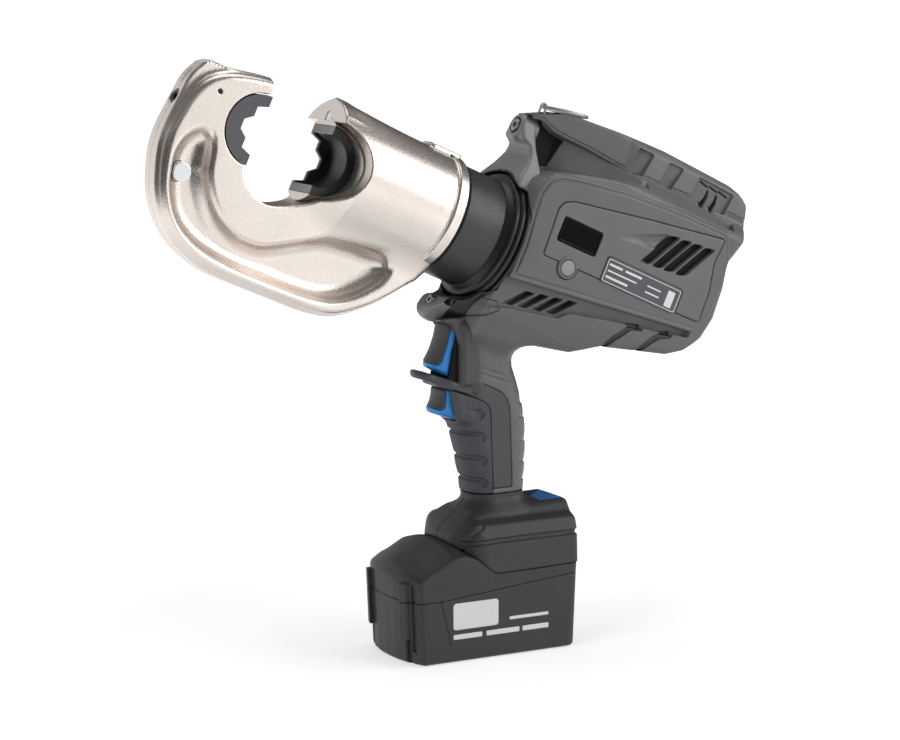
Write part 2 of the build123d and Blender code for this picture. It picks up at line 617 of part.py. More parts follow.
# Foot that carries the battery rails and the latch.
foot = slab(FOOT, -60, 60) & bar(FOOT_CROSS, -60, 80)
foot -= grip_core
foot -= hollow
x0, x1, y, z1 = FOOT_ROOM
foot -= block(x0, x1, -y, y, RAIL_Z[1] + FOOT_ROOF, z1)
y = RAIL_HALF + GAP
foot -= block(-60, CHANNEL_END, -y, y, RAIL_Z[0] - GAP, RAIL_Z[1] + GAP)
y = RAIL_NECK + GAP
foot -= block(-60, CHANNEL_END, -y, y, 40, RAIL_Z[0])
y = LATCH_HALF + GAP
x0, z0 = LATCH[-1]
x1 = LATCH[-2][0]
foot -= slab(LATCH, -y, y, GAP)
foot -= block(x0 - GAP, x1 + GAP, -y, y, z0 - LATCH_TRAVEL - 1, z0 + 10)
y = TERMINAL_HALF + FACE
foot -= block(CHANNEL_END - 1, CONTACT_X[2] + FACE, -y, y, CONTACT_Z[0] - FACE, CONTACT_Z[1] + FACE)
save("foot_left", half(foot, -1))
save("foot_right", half(foot, 1))
latch = slab(LATCH, -LATCH_HALF, LATCH_HALF)
save("battery_latch", latch)

# Battery pack.
rail_block = block(*RAIL_X, -RAIL_HALF, RAIL_HALF, *RAIL_Z)
rail_block += block(*RAIL_X, -RAIL_NECK, RAIL_NECK, DECK_Z - 1, RAIL_Z[0] + 1)
upper = slab(NOSE, -PACK_W / 2, PACK_W / 2)
room_x = PACK_L / 2 - PACK_WALL
room_y = PACK_W / 2 - PACK_WALL
upper_room = slab(NOSE, -room_y, room_y, -PACK_WALL)
upper_room += block(-room_x, room_x, -room_y, room_y, CASE_Z - 1, CASE_Z + 6)
upper = upper - upper_room + rail_block
upper -= block(RAIL_X[1] - TERMINAL_LEN, RAIL_X[1] + 1, -TERMINAL_HALF, TERMINAL_HALF, *TERMINAL_Z)
corner = RectangleRounded(PACK_L, PACK_W, PACK_CORNER)
upper &= extrude(corner, amount=200)
save("pack_upper", upper)
lower = extrude(corner, amount=CASE_Z - FACE)
lower = chamfer(lower.faces().sort_by(Axis.Z)[0].edges(), PACK_CHAMFER)
lower -= block(-room_x, room_x, -room_y, room_y, PACK_WALL, CASE_Z + 1)
save("pack_lower", lower)
cells = []
for row in range(2):
    for column in range(5):
        x = (column - 2) * CELL_PITCH
        z = PACK_WALL + CELL_R + row * CELL_PITCH
        cells.append(rod_y(CELL_R, -CELL_L / 2, CELL_L / 2, x, z))
save("pack_cells", *cells)
cell_top = PACK_WALL + 2 * CELL_R + CELL_PITCH
x0, x1, y = PACK_BOARD
save("pack_board", block(x0, x1, -y, y, cell_top, cell_top + BOARD_T))
terminals = block(RAIL_X[1] - TERMINAL_LEN, RAIL_X[1] - GAP, -TERMINAL_HALF, TERMINAL_HALF, *TERMINAL_Z)
contacts = block(CONTACT_X[1], CONTACT_X[2], -TERMINAL_HALF, TERMINAL_HALF, *CONTACT_Z)
for y in CONTACT_Y:
    width, z0, z1 = CONTACT_SLOT
    terminals -= block(CONTACT_X[0] - 4, 60, y - width / 2, y + width / 2, z0, z1)
    width, z0, z1 = CONTACT_BLADE
    contacts += block(CONTACT_X[0], CONTACT_X[1] + 1, y - width / 2, y + width / 2, z0, z1)
save("pack_terminals", terminals)
save("foot_contacts", contacts)
x0, x1, z0, z1 = LABEL
save("pack_label", block(x0, x1, -PACK_W / 2 - LABEL_T, -PACK_W / 2, z0, z1))

# Hang ring and its lug.
ring_plane = Pos(RING_AT[0], 0, RING_AT[1]) * Rot(0, -RING_SLOPE, 0)
ring = ring_plane * Pos(RING_R, 0, 0) * Torus(RING_R, RING_WIRE)
save("hang_ring", AXIS * ring)
lug = block(*LUG_X, -LUG_HALF, LUG_HALF, 84, RING_AT[1]) + rod_y(LUG_R, -LUG_HALF, LUG_HALF, *RING_AT)
lug -= rod_y(LUG_HOLE, -20, 20, *RING_AT)
lug = AXIS * lug - front - shell
save("ring_lug", max(lug.solids(), key=lambda s: s.volume))

# Pump, gearbox and motor along the axis.
pump = rod_x(PUMP_R, *PUMP_X) - rod_x(PUMP_WELL[0], PUMP_X[0] - 1, PUMP_X[0] + PUMP_WELL[1])
pump -= rod_x(CAM_WELL[0], PUMP_X[1] - CAM_WELL[1], PUMP_X[1] + 1)
save("pump_body", AXIS * pump)
ring_pitch = MODULE * RING_T / 2
ring_teeth = gear_outline(RING_T, ring_pitch - 0.8 * MODULE, ring_pitch + 1.15 * MODULE)
teeth_face = Pos(TEETH_X[0] - 1, 0, 0) * (Plane.YZ * Polygon(*ring_teeth, align=None))
teeth_hole = extrude(teeth_face, amount=20, dir=(1, 0, 0))
case = tube_x(GEAR_R[1], GEAR_R[0], *GEAR_X)
case += rod_x(GEAR_R[1] - 1, TEETH_X[0], TEETH_X[1]) - teeth_hole
case += rod_x(GEAR_R[1] - 1, *WALL_X) - rod_x(NECK_SHAFT_R + RUN, 40, 80)
pump_pin_x = (CAM_X[0] + CAM_X[1]) / 2
case -= rod_z(PUMP_PIN_R + RUN, 10, 60, pump_pin_x, 0)
save("gearbox_case", AXIS * case)
save("pump_plunger", AXIS * rod_z(PUMP_PIN_R, CAM_OFF + CAM_RING_R + GAP, GEAR_R[1] - GAP, pump_pin_x, 0))
shaft = rod_x(SHAFT_R, TEETH_X[1] - 1, CAP_X[1] - 1.0) + gear(SUN_T, *TEETH_X)
save("motor_shaft", AXIS * shaft)
for k in range(3):
    around = 2 * math.pi * k / 3
    turn = around + math.pi - math.pi / PLANET_T
    planet = gear(PLANET_T, TEETH_X[0] + GAP, TEETH_X[1] - GAP, turn) - rod_x(PIN_R + RUN, 60, 100)
    place = Pos(0, ORBIT_R * math.cos(around), ORBIT_R * math.sin(around))
    save(f"planet_{k + 1}", AXIS * place * planet)
carrier = rod_x(ORBIT_R + 5, *DISC_X) + rod_x(NECK_SHAFT_R, *NECK_X) + rod_x(CAM_R, *CAM_X, 0, CAM_OFF)
for k in range(3):
    around = 2 * math.pi * k / 3
    carrier += rod_x(PIN_R, DISC_X[1] - 1, TEETH_X[1], ORBIT_R * math.cos(around), ORBIT_R * math.sin(around))
save("carrier", AXIS * carrier)
save("eccentric_bearing", AXIS * tube_x(CAM_RING_R, CAM_R + FACE, CAM_X[0] + GAP, CAM_X[1] - GAP, 0, CAM_OFF))
relief_0, relief_1, relief_2 = CAN_RELIEF
can = tube_x(CAN_R[1], POLE_R, *CAN_X)
can -= tube_x(CAN_R[0], POLE_R - 1, CAN_X[0] + relief_0, CAN_X[0] + relief_1)
can -= rod_x(CAN_R[0], CAN_X[1] - relief_2, CAN_X[1] + 1)
can += rod_x(GEAR_R[1], CAN_X[0], CAN_X[0] + CAN_LIP)
can -= rod_x(SHAFT_R + RUN, 80, 100)
save("motor_can", AXIS * can)
save("motor_endcap", AXIS * tube_x(CAN_R[1], SHAFT_R + RUN, *CAP_X))
save("rotor_core", AXIS * tube_x(ROTOR_R, SHAFT_R + FACE, *ROTOR_X))
fan = tube_x(FAN_HUB, SHAFT_R + FACE, *FAN_X)
for k in range(BLADES):
    fan += Rot(k * 360 / BLADES, 0, 0) * block(*FAN_X, FAN_HUB - 2, FAN_R, -BLADE_T / 2, BLADE_T / 2)
save("fan", AXIS * fan)
bladder = block(BLADDER[0], BLADDER[1], -BLADDER_HALF, BLADDER_HALF, BLADDER[2], BLADDER[3])
save("oil_bladder", AXIS * fillet(bladder.edges().filter_by(Axis.X), BLADDER_EDGE))
save("relief_valve", AXIS * rod_z(VALVE_R, -PUMP_R - VALVE_LEN, -PUMP_R, VALVE_X, 0))
board_y = -PANEL_BED + WALL + FACE
x0, x1, z0, z1 = BOARD
save("control_board", AXIS * block(x0, x1, board_y, board_y + BOARD_T, z0, z1))

# Screws that hold the two halves together.
save("housing_screws", *screws)
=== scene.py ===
import json
import math
from concurrent.futures import ThreadPoolExecutor

import bpy
import numpy as np
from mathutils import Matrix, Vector


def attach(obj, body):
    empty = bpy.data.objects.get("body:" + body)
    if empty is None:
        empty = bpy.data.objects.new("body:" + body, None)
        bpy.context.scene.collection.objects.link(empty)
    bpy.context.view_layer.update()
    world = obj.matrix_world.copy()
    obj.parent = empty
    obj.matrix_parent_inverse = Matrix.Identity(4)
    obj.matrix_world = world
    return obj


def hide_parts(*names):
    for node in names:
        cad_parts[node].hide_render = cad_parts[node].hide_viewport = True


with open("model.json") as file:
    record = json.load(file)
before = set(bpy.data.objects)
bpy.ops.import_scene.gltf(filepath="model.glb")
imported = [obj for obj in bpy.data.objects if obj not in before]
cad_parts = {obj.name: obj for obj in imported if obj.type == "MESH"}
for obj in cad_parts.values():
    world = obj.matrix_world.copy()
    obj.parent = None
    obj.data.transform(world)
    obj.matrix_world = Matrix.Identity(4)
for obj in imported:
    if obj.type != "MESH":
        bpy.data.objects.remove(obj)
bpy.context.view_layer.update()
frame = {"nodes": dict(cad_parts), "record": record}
NODES = frame["nodes"]

# Lengths in this script are millimetres and become metres when a mesh is made.
MM = 0.001
CELL = 0.8
FAR = 1e3

# The tool axis rises towards the head: a runs back along it, v is up from it, y is to the right.
TILT = math.radians(24.5)
COS, SIN = math.cos(TILT), math.sin(TILT)
NOSE_X = 5.3
NOSE_Z = 278.6

POOL = ThreadPoolExecutor(4)
SMOOTH = {"on": False}


def from_axis(p):
    a, y, v = p.T
    return np.stack((NOSE_X + a * COS + v * SIN, y, NOSE_Z - a * SIN + v * COS), 1)


def to_axis(x, z):
    return (x - NOSE_X) * COS - (z - NOSE_Z) * SIN, (x - NOSE_X) * SIN + (z - NOSE_Z) * COS


def level(p):
    return p


# Outlines: smooth curves through points, polygons with rounded corners
def curve(points, closed=True, steps=8):
    """Smooth curve through all the points."""
    p = np.asarray(points, float)
    n = len(p)
    t = np.linspace(0, 1, steps, endpoint=False)[:, None]
    rows = []
    for i in range(n if closed else n - 1):
        if closed:
            q = [p[(i + k) % n] for k in (-1, 0, 1, 2)]
        else:
            q = [p[min(max(i + k, 0), n - 1)] for k in (-1, 0, 1, 2)]
        bend = 2 * q[0] - 5 * q[1] + 4 * q[2] - q[3]
        twist = 3 * q[1] - q[0] - 3 * q[2] + q[3]
        rows.append(0.5 * (2 * q[1] + (q[2] - q[0]) * t + bend * t ** 2 + twist * t ** 3))
    if not closed:
        rows.append(p[-1:])
    return np.concatenate(rows)


def rounded(points, radius, steps=6):
    """Polygon with rounded corners: one radius for all of them, or a list."""
    p = np.asarray(points, float)
    n = len(p)
    radii = [radius] * n if np.isscalar(radius) else radius
    out = []
    for i in range(n):
        before, here, after = p[i - 1], p[i], p[(i + 1) % n]
        u = (before - here) / np.linalg.norm(before - here)
        w = (after - here) / np.linalg.norm(after - here)
        half = math.acos(float(np.clip(u @ w, -1, 1))) / 2
        reach = radii[i] / max(math.tan(half), 1e-6)
        reach = min(reach, 0.48 * np.linalg.norm(before - here), 0.48 * np.linalg.norm(after - here))
        if reach < 0.05:
            out.append(here)
            continue
        t = np.linspace(0, 1, steps + 1)[:, None]
        out.extend((here + u * reach) * (1 - t) ** 2 + 2 * here * t * (1 - t) + (here + w * reach) * t ** 2)
    return np.asarray(out)


def mirror(points, first, second):
    """Points, then their mirror image in reverse order; first and second are the signs of the image."""
    return points + [(first * u, second * v) for u, v in reversed(points)]


def graded(*points):
    """Function that runs straight from one (place, value) point to the next."""
    places, values = zip(*points)
    return lambda u: np.interp(u, places, values)


class Outline:
    """Signed distance to a closed outline, kept on a grid."""

    def __init__(self, points, step=1.0, margin=30.0):
        p = np.asarray(points, float)
        self.step = step
        self.lo = p.min(0) - margin
        self.n = np.ceil((p.max(0) + margin - self.lo) / step).astype(int) + 4
        u, v = np.meshgrid(*[self.lo[k] + step * np.arange(self.n[k]) for k in (0, 1)], indexing="ij")
        near = np.full(u.shape, np.inf)
        inside = np.zeros(u.shape, bool)
        for (u0, v0), (u1, v1) in zip(p, np.roll(p, -1, 0)):
            du, dv = u1 - u0, v1 - v0
            size = du * du + dv * dv
            if size < 1e-9:
                continue
            t = np.clip(((u - u0) * du + (v - v0) * dv) / size, 0, 1)
            near = np.minimum(near, (u - u0 - t * du) ** 2 + (v - v0 - t * dv) ** 2)
            if dv:
                inside ^= ((v0 > v) != (v1 > v)) & (u < du * (v - v0) / dv + u0)
        self.grid = np.where(inside, -np.sqrt(near), np.sqrt(near)).ravel()

    def __call__(self, u, v):
        s = np.clip((u - self.lo[0]) / self.step, 1.0, self.n[0] - 3.001)
        t = np.clip((v - self.lo[1]) / self.step, 1.0, self.n[1] - 3.001)
        i = s.astype(np.int64)
        j = t.astype(np.int64)
        s = s - i
        t = t - j
        row = int(self.n[1])
        k = i * row + j
        g = self.grid
        if not SMOOTH["on"]:
            low = g[k] * (1 - t) + g[k + 1] * t
            high = g[k + row] * (1 - t) + g[k + row + 1] * t
            return low * (1 - s) + high * s
        ws, wt = cubic(s), cubic(t)
        total = 0.0
        for m in range(4):
            base = k + (m - 1) * row
            line = sum(wt[q] * g[base + q - 1] for q in range(4))
            total = total + ws[m] * line
        return total


def cubic(t):
    """Weights of four neighbours for a smooth value between the middle two."""
    second = (3 * t ** 3 - 6 * t ** 2 + 4) / 6
    third = (-3 * t ** 3 + 3 * t ** 2 + 3 * t + 1) / 6
    return (1 - t) ** 3 / 6, second, third, t ** 3 / 6


def softened(outline, passes):
    """Blur the distances of an outline, so that its corners and middle line turn soft."""
    grid = outline.grid.reshape(outline.n)
    for _ in range(passes):
        grid = np.pad(grid, 1, mode="edge")
        grid = (grid[:-2] + 2 * grid[1:-1] + grid[2:]) / 4
        grid = (grid[:, :-2] + 2 * grid[:, 1:-1] + grid[:, 2:]) / 4
    outline.grid = grid.ravel()
    return outline


def sharp_outline(points, radius=0.0):
    """Outline of a small form, on a finer grid."""
    return Outline(rounded(points, radius), step=0.6, margin=14)


# Signed distances: negative inside, in millimetres; a factor below one allows for a slope
def ease(lo, hi, x):
    t = np.clip((x - lo) / (hi - lo), 0.0, 1.0)
    return t * t * (3 - 2 * t)


def meet(a, b, r):
    """Intersection with a rounded edge of radius r."""
    return np.minimum(np.maximum(a, b), -r) + np.hypot(np.maximum(a + r, 0), np.maximum(b + r, 0))


def join(a, b, r):
    """Union with a fillet of radius r."""
    return -meet(-a, -b, r)


def cut(a, b, r):
    """First shape less the second, with a rounded edge."""
    return meet(a, -b, r)


def less(d, *others):
    """First shape less the others, with sharp edges."""
    for other in others:
        d = np.maximum(d, -other)
    return d


def melt(a, b, k):
    """Union with a wide soft blend."""
    h = np.maximum(k - np.abs(a - b), 0.0) / k
    return np.minimum(a, b) - h * h * k * 0.25


def hollow(d, wall):
    return np.maximum(d, -d - wall)


def away(u, v, point):
    return np.hypot(u - point[0], v - point[1])


def rect(u, v, hu, hv, r):
    du, dv = np.abs(u) - hu + r, np.abs(v) - hv + r
    return np.hypot(np.maximum(du, 0), np.maximum(dv, 0)) + np.minimum(np.maximum(du, dv), 0) - r


def field(u, v, window, r, grow=0.0):
    """Rounded rectangle given by its middle and its half sizes."""
    middle_u, middle_v, half_u, half_v = window
    return rect(u - middle_u, v - middle_v, half_u + grow, half_v + grow, r)


def brick(x, y, z, middle, half, r):
    dx = np.abs(x - middle[0]) - half[0] + r
    dy = np.abs(y - middle[1]) - half[1] + r
    dz = np.abs(z - middle[2]) - half[2] + r
    out = np.sqrt(np.maximum(dx, 0) ** 2 + np.maximum(dy, 0) ** 2 + np.maximum(dz, 0) ** 2)
    return out + np.minimum(np.maximum(np.maximum(dx, dy), dz), 0) - r


def segment(u, v, p, q):
    du, dv = q[0] - p[0], q[1] - p[1]
    t = np.clip(((u - p[0]) * du + (v - p[1]) * dv) / (du * du + dv * dv), 0, 1)
    return np.hypot(u - p[0] - t * du, v - p[1] - t * dv)


def path(u, v, points):
    d = segment(u, v, points[0], points[1])
    for p, q in zip(points[1:-1], points[2:]):
        d = np.minimum(d, segment(u, v, p, q))
    return d


def paths(u, v, lines):
    d = path(u, v, lines[0])
    for points in lines[1:]:
        d = np.minimum(d, path(u, v, points))
    return d


def slab(x, lo, hi):
    return np.maximum(lo - x, x - hi)


# Meshing: one vertex in each cell that the surface crosses, then drawn onto the surface
def sample(shape, p):
    parts = np.array_split(p, max(1, len(p) // 30000))
    return np.concatenate(list(POOL.map(lambda q: shape(q[:, 0], q[:, 1], q[:, 2]), parts)))


def slope(shape, p, e=0.12):
    g = np.zeros_like(p)
    for k in ((1, -1, -1), (-1, -1, 1), (-1, 1, -1), (1, 1, 1)):
        k = np.array(k, float)
        g += k * sample(shape, p + e * k)[:, None]
    return g / (4 * e)


def lattice(shape, lo, hi, cell):
    """Distances on a grid, exact only in the blocks that the surface may cross."""
    lo = np.asarray(lo, float) - 2 * cell
    block = 8
    n = np.ceil((np.asarray(hi, float) + 2 * cell - lo) / cell / block).astype(int)
    ids = np.stack(np.meshgrid(*[np.arange(k) for k in n], indexing="ij"), -1).reshape(-1, 3)
    middle = sample(shape, lo + (ids * block + (block - 1) / 2) * cell)
    grid = np.repeat(np.repeat(np.repeat(middle.reshape(n), block, 0), block, 1), block, 2)
    half_diagonal = 0.87 * block * cell
    keep = ids[np.abs(middle) < half_diagonal * 1.25 + 1.5]
    step = np.stack(np.meshgrid(*[np.arange(block)] * 3, indexing="ij"), -1).reshape(-1, 3)
    nodes = (keep[:, None, :] * block + step[None]).reshape(-1, 3)
    grid[nodes[:, 0], nodes[:, 1], nodes[:, 2]] = sample(shape, lo + nodes * cell)
    return lo, grid


def surface(shape, lo, hi, cell):
    lo, g = lattice(shape, lo, hi, cell)
    inside = g < 0
    size = tuple(k - 1 for k in g.shape)
    corners = [(i, j, k) for i in (0, 1) for j in (0, 1) for k in (0, 1)]
    count = np.zeros(size, np.int8)
    for i, j, k in corners:
        count += inside[i:i + size[0], j:j + size[1], k:k + size[2]]
    cells = np.argwhere((count > 0) & (count < 8))
    index = np.full(size, -1, np.int64)
    index[tuple(cells.T)] = np.arange(len(cells))
    total = np.zeros((len(cells), 3))
    hits = np.zeros(len(cells))
    for c in corners:
        for axis in range(3):
            if c[axis]:
                continue
            d = list(c)
            d[axis] = 1
            va = g[tuple((cells + c).T)]
            vb = g[tuple((cells + d).T)]
            crossed = (va < 0) != (vb < 0)
            t = np.where(crossed, va / np.where(crossed, va - vb, 1.0), 0.0)
            spot = np.tile(np.array(c, float), (len(cells), 1))
            spot[:, axis] += t
            total += spot * crossed[:, None]
            hits += crossed
    points = lo + (cells + total / hits[:, None]) * cell
    faces = []
    for axis in range(3):
        b, c = (axis + 1) % 3, (axis + 2) % 3
        first = [slice(None)] * 3
        second = [slice(None)] * 3
        first[axis], second[axis] = slice(0, -1), slice(1, None)
        change = inside[tuple(first)] != inside[tuple(second)]
        for k in (b, c):
            for end in (0, -1):
                edge = [slice(None)] * 3
                edge[k] = end
                change[tuple(edge)] = False
        at = np.argwhere(change)
        ring = []
        for db, dc in ((1, 1), (0, 1), (0, 0), (1, 0)):
            e = at.copy()
            e[:, b] -= db
            e[:, c] -= dc
            ring.append(index[tuple(e.T)])
        quads = np.stack(ring, 1)
        flip = inside[tuple(at.T)]
        quads[~flip] = quads[~flip][:, ::-1]
        faces.append(quads)
    return points, np.concatenate(faces)


def cast(name, shape, lo, hi, cell=None, place=level):
    """Piece with the surface of a shape between two corners."""
    cell = CELL if cell is None else (cell)
    SMOOTH["on"] = False
    points, faces = surface(shape, lo, hi, cell)
    SMOOTH["on"] = True
    for _ in range(2):
        g = slope(shape, points)
        size = np.maximum((g * g).sum(1), 0.25)
        move = np.clip(sample(shape, points) / size, -0.6 * cell, 0.6 * cell)
        points = points - g * move[:, None]
    normals = slope(shape, points)
    SMOOTH["on"] = False
    normals /= np.maximum(np.linalg.norm(normals, axis=1), 1e-6)[:, None]
    turned = place(points + normals) - place(points)
    return make_object(name, place(points), faces.tolist(), turned)


def cast_sides(name, shape, lo, hi, cell=None, place=level):
    """Left and right half of a shape, each with its mark; the corners are those of the right half."""
    for side, mark in ((-1, "left"), (1, "right")):
        near, far = sorted((side * lo[1], side * hi[1]))
        yield mark, cast(
            name % mark, lambda x, y, z: np.maximum(shape(x, y, z), -side * y),
            (lo[0], near, lo[2]), (hi[0], far, hi[2]), cell, place,
        )


def lathe(name, profile, turns=128):
    """Turn a closed profile of (a, radius) points about the tool axis."""
    points = []
    faces = []
    n = len(profile)
    for i in range(turns):
        t = 2 * math.pi * i / turns
        points += [(a, r * math.sin(t), r * math.cos(t)) for a, r in profile]
        j = (i + 1) % turns
        for k in range(n):
            m = (k + 1) % n
            faces.append((i * n + k, i * n + m, j * n + m, j * n + k))
    return make_object(name, from_axis(np.asarray(points)), faces)


def make_object(name, points, faces, normals=None):
    mesh = bpy.data.meshes.new(name)
    mesh.from_pydata((points * MM).tolist(), [], faces)
    mesh.validate()
    mesh.polygons.foreach_set("use_smooth", [True] * len(mesh.polygons))
    if normals is not None and len(mesh.vertices) == len(normals):
        mesh.normals_split_custom_set_from_vertices(normals.tolist())
    obj = bpy.data.objects.new(name, mesh)
    bpy.context.scene.collection.objects.link(obj)
    return obj


# Materials
# Each look: colour, least and most roughness, fineness of grain, bump, spread of colour, metal, gloss
LOOKS = dict(
    satin_nickel=((214, 205, 198), (0.25, 0.34), 1100.0, 0.30, 0.03, 0.95),
    die_steel=((86, 86, 90), (0.36, 0.48), 1200.0, 0.10, 0.08, 0.85),
    # Near-black die colour: painted shade for the die that sits deep in the arch of the head
    die_painted_shade=((20, 20, 22), (0.30, 0.42), 1200.0, 0.10, 0.08, 0.2),
    bolt_steel=((150, 151, 154), (0.34, 0.44), 900.0, 0.06, 0.05, 0.9),
    bright_steel=((215, 215, 216), (0.16, 0.28), 900.0, 0.04, 0.04, 1.0),
    spring_steel=((120, 118, 114), (0.3, 0.42), 900.0, 0.04, 0.06, 1.0),
    black_steel=((58, 58, 58), (0.30, 0.50), 1000.0, 0.55, 0.12, 0.35),
    pump_steel=((128, 128, 130), (0.35, 0.5), 900.0, 0.05, 0.06, 1.0),
    ring_steel=((176, 176, 178), (0.45, 0.5), 300.0, 0.0, 0.05, 0.8),
    contact_brass=((196, 160, 92), (0.22, 0.34), 700.0, 0.04, 0.06, 1.0),
    housing_grey=((97, 97, 99), (0.40, 0.52), 1700.0, 0.05, 0.05),
    panel_grey=((102, 102, 103), (0.36, 0.48), 1700.0, 0.05, 0.05),
    plate_grey=((74, 76, 80), (0.34, 0.44), 900.0, 0.03, 0.05),
    button_grey=((148, 148, 150), (0.36, 0.46), 900.0, 0.03, 0.03),
    lug_plastic=((116, 116, 118), (0.32, 0.42), 1600.0, 0.05, 0.06),
    black_plastic=((24, 24, 26), (0.32, 0.45), 1600.0, 0.05, 0.10),
    frame_plastic=((62, 62, 66), (0.34, 0.48), 1600.0, 0.05, 0.08),
    case_plastic=((45, 45, 48), (0.46, 0.6), 1500.0, 0.10, 0.10),
    blue_plastic=((38, 126, 204), (0.30, 0.42), 1500.0, 0.04, 0.08),
    # Near-black for the seal, the trigger core and the sheets in recesses: painted shade
    painted_shade_black=((7, 7, 8), (0.55, 0.7), 1300.0, 0.06, 0.1, 0.0, 0.2),
    black_rubber=((64, 66, 70), (0.55, 0.7), 1100.0, 0.10, 0.08),
    black_rubber_dark=((20, 20, 22), (0.4, 0.55), 1300.0, 0.08, 0.08),
    pad_rubber=((60, 61, 65), (0.5, 0.62), 1300.0, 0.08, 0.08),
    display_glass=((4, 4, 5), (0.06, 0.10), 300.0, 0.0, 0.2, 0.0, 0.08),
    label_white=((232, 233, 234), (0.4, 0.5), 800.0, 0.02, 0.02),
    board_green=((28, 84, 52), (0.35, 0.5), 600.0, 0.05, 0.15),
    cell_wrap=((52, 108, 128), (0.3, 0.42), 300.0, 0.03, 0.12),
)
# Colour of the painted highlight on the moving die
DIE_HIGHLIGHT = (122, 122, 127)
DRIFT_SCALE = 35.0
BUMP_HEIGHT = 0.0004
ARCH = -134.0
DIE_HALF = 15.5


def new_material(name):
    material = bpy.data.materials.new(name)
    material.use_nodes = True
    tree = material.node_tree
    return material, tree, tree.nodes["Principled BSDF"]


def srgb(*colour):
    line = [c / 255 for c in colour]
    return tuple(c / 12.92 if c <= 0.04045 else ((c + 0.055) / 1.055) ** 2.4 for c in line) + (1.0,)


def grey(value):
    return (value, value, value, 1.0)


def noise(tree, scale, detail=3.0):
    spot = tree.nodes.new("ShaderNodeTexCoord")
    tex = tree.nodes.new("ShaderNodeTexNoise")
    tex.inputs["Scale"].default_value = scale
    tex.inputs["Detail"].default_value = detail
    tex.inputs["Roughness"].default_value = 0.55
    tree.links.new(spot.outputs["Object"], tex.inputs["Vector"])
    return tex.outputs["Fac"]


def ramp(tree, source, low, high, lo=0.3, hi=0.7):
    node = tree.nodes.new("ShaderNodeValToRGB")
    for element, place, colour in zip(node.color_ramp.elements, (lo, hi), (low, high)):
        element.position = place
        element.color = colour
    tree.links.new(source, node.inputs["Fac"])
    return node.outputs["Color"]


def greater(tree, one, other):
    node = tree.nodes.new("ShaderNodeMath")
    node.operation = "MAXIMUM"
    tree.links.new(one, node.inputs[0])
    tree.links.new(other, node.inputs[1])
    return node.outputs[0]


def map_range(tree, source, **ends):
    """Map Range node; the ends are named as its sockets are, with _ for a space."""
    node = tree.nodes.new("ShaderNodeMapRange")
    for socket, value in ends.items():
        node.inputs[socket.replace("_", " ")].default_value = value
    tree.links.new(source, node.inputs["Value"])
    return node.outputs["Result"]


def moulded(name, colour, rough, grain, bump, spread, metal=0.0, gloss=0.5):
    """Plastic or metal with a fine grain: colour drifts a little, roughness and bump follow the grain."""
    material, tree, shader = new_material(name)
    shader.inputs["Metallic"].default_value = metal
    shader.inputs["Specular IOR Level"].default_value = gloss
    base = srgb(*colour)[:3]
    dark = tuple(c * (1 - spread) for c in base) + (1.0,)
    light = tuple(min(c * (1 + spread), 1.0) for c in base) + (1.0,)
    tint = ramp(tree, noise(tree, DRIFT_SCALE, 4.0), dark, light)
    fine = noise(tree, grain, 2.0)
    sheen = ramp(tree, fine, grey(rough[0]), grey(rough[1]))
    dent = tree.nodes.new("ShaderNodeBump")
    dent.inputs["Strength"].default_value = bump
    dent.inputs["Distance"].default_value = BUMP_HEIGHT
    tree.links.new(fine, dent.inputs["Height"])
    tree.links.new(tint, shader.inputs["Base Color"])
    tree.links.new(sheen, shader.inputs["Roughness"])
    tree.links.new(dent.outputs["Normal"], shader.inputs["Normal"])
    return material


def paint_die_highlights(material):
    """Painted highlight: a lighter steel colour on the parting face of the die and along its far edge, where
    they catch the light.
    """
    tree = material.node_tree
    shader = tree.nodes["Principled BSDF"]
    tint = shader.inputs["Base Color"].links[0].from_socket
    spot = tree.nodes.new("ShaderNodeTexCoord").outputs["Object"]
    back = tree.nodes.new("ShaderNodeVectorMath")
    back.operation = "DOT_PRODUCT"
    back.inputs[1].default_value = (COS, 0.0, -SIN)
    tree.links.new(spot, back.inputs[0])
    face_at = NOSE_X * COS - NOSE_Z * SIN + ARCH
    face_ends = dict(From_Min=(face_at + 0.6) * MM, From_Max=(face_at + 0.3) * MM)
    face = map_range(tree, back.outputs["Value"], **face_ends)
    parts = tree.nodes.new("ShaderNodeSeparateXYZ")
    tree.links.new(spot, parts.inputs["Vector"])
    edge_ends = dict(From_Min=(DIE_HALF - 1.9) * MM, From_Max=(DIE_HALF - 1.5) * MM)
    edge = map_range(tree, parts.outputs["Y"], **edge_ends)
    mix = tree.nodes.new("ShaderNodeMix")
    mix.data_type = "RGBA"
    mix.inputs["B"].default_value = srgb(*DIE_HIGHLIGHT)
    tree.links.new(greater(tree, face, edge), mix.inputs["Factor"])
    tree.links.new(tint, mix.inputs["A"])
    tree.links.new(mix.outputs["Result"], shader.inputs["Base Color"])


LOOK = {name: moulded(name, *values) for name, values in LOOKS.items()}
# Painted highlight on the parting face and far edge of the moving die, over its painted shade
paint_die_highlights(LOOK["die_painted_shade"])
for part in frame["record"]["subparts"]:
    looks = NODES[part["node"]].data.materials
    looks.clear()
    looks.append(LOOK[part["material_slot"]])
NODES["stop_pin"].data.materials[0] = LOOK["black_rubber_dark"]


def fit(obj, body, slot, *nodes, look=None):
    """Let a piece ride on a body in place of nodes, with the finish of its slot or a look of its own."""
    obj.data.materials.append(LOOK[look or slot])
    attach(obj, body)
    if nodes:
        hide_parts(*nodes)


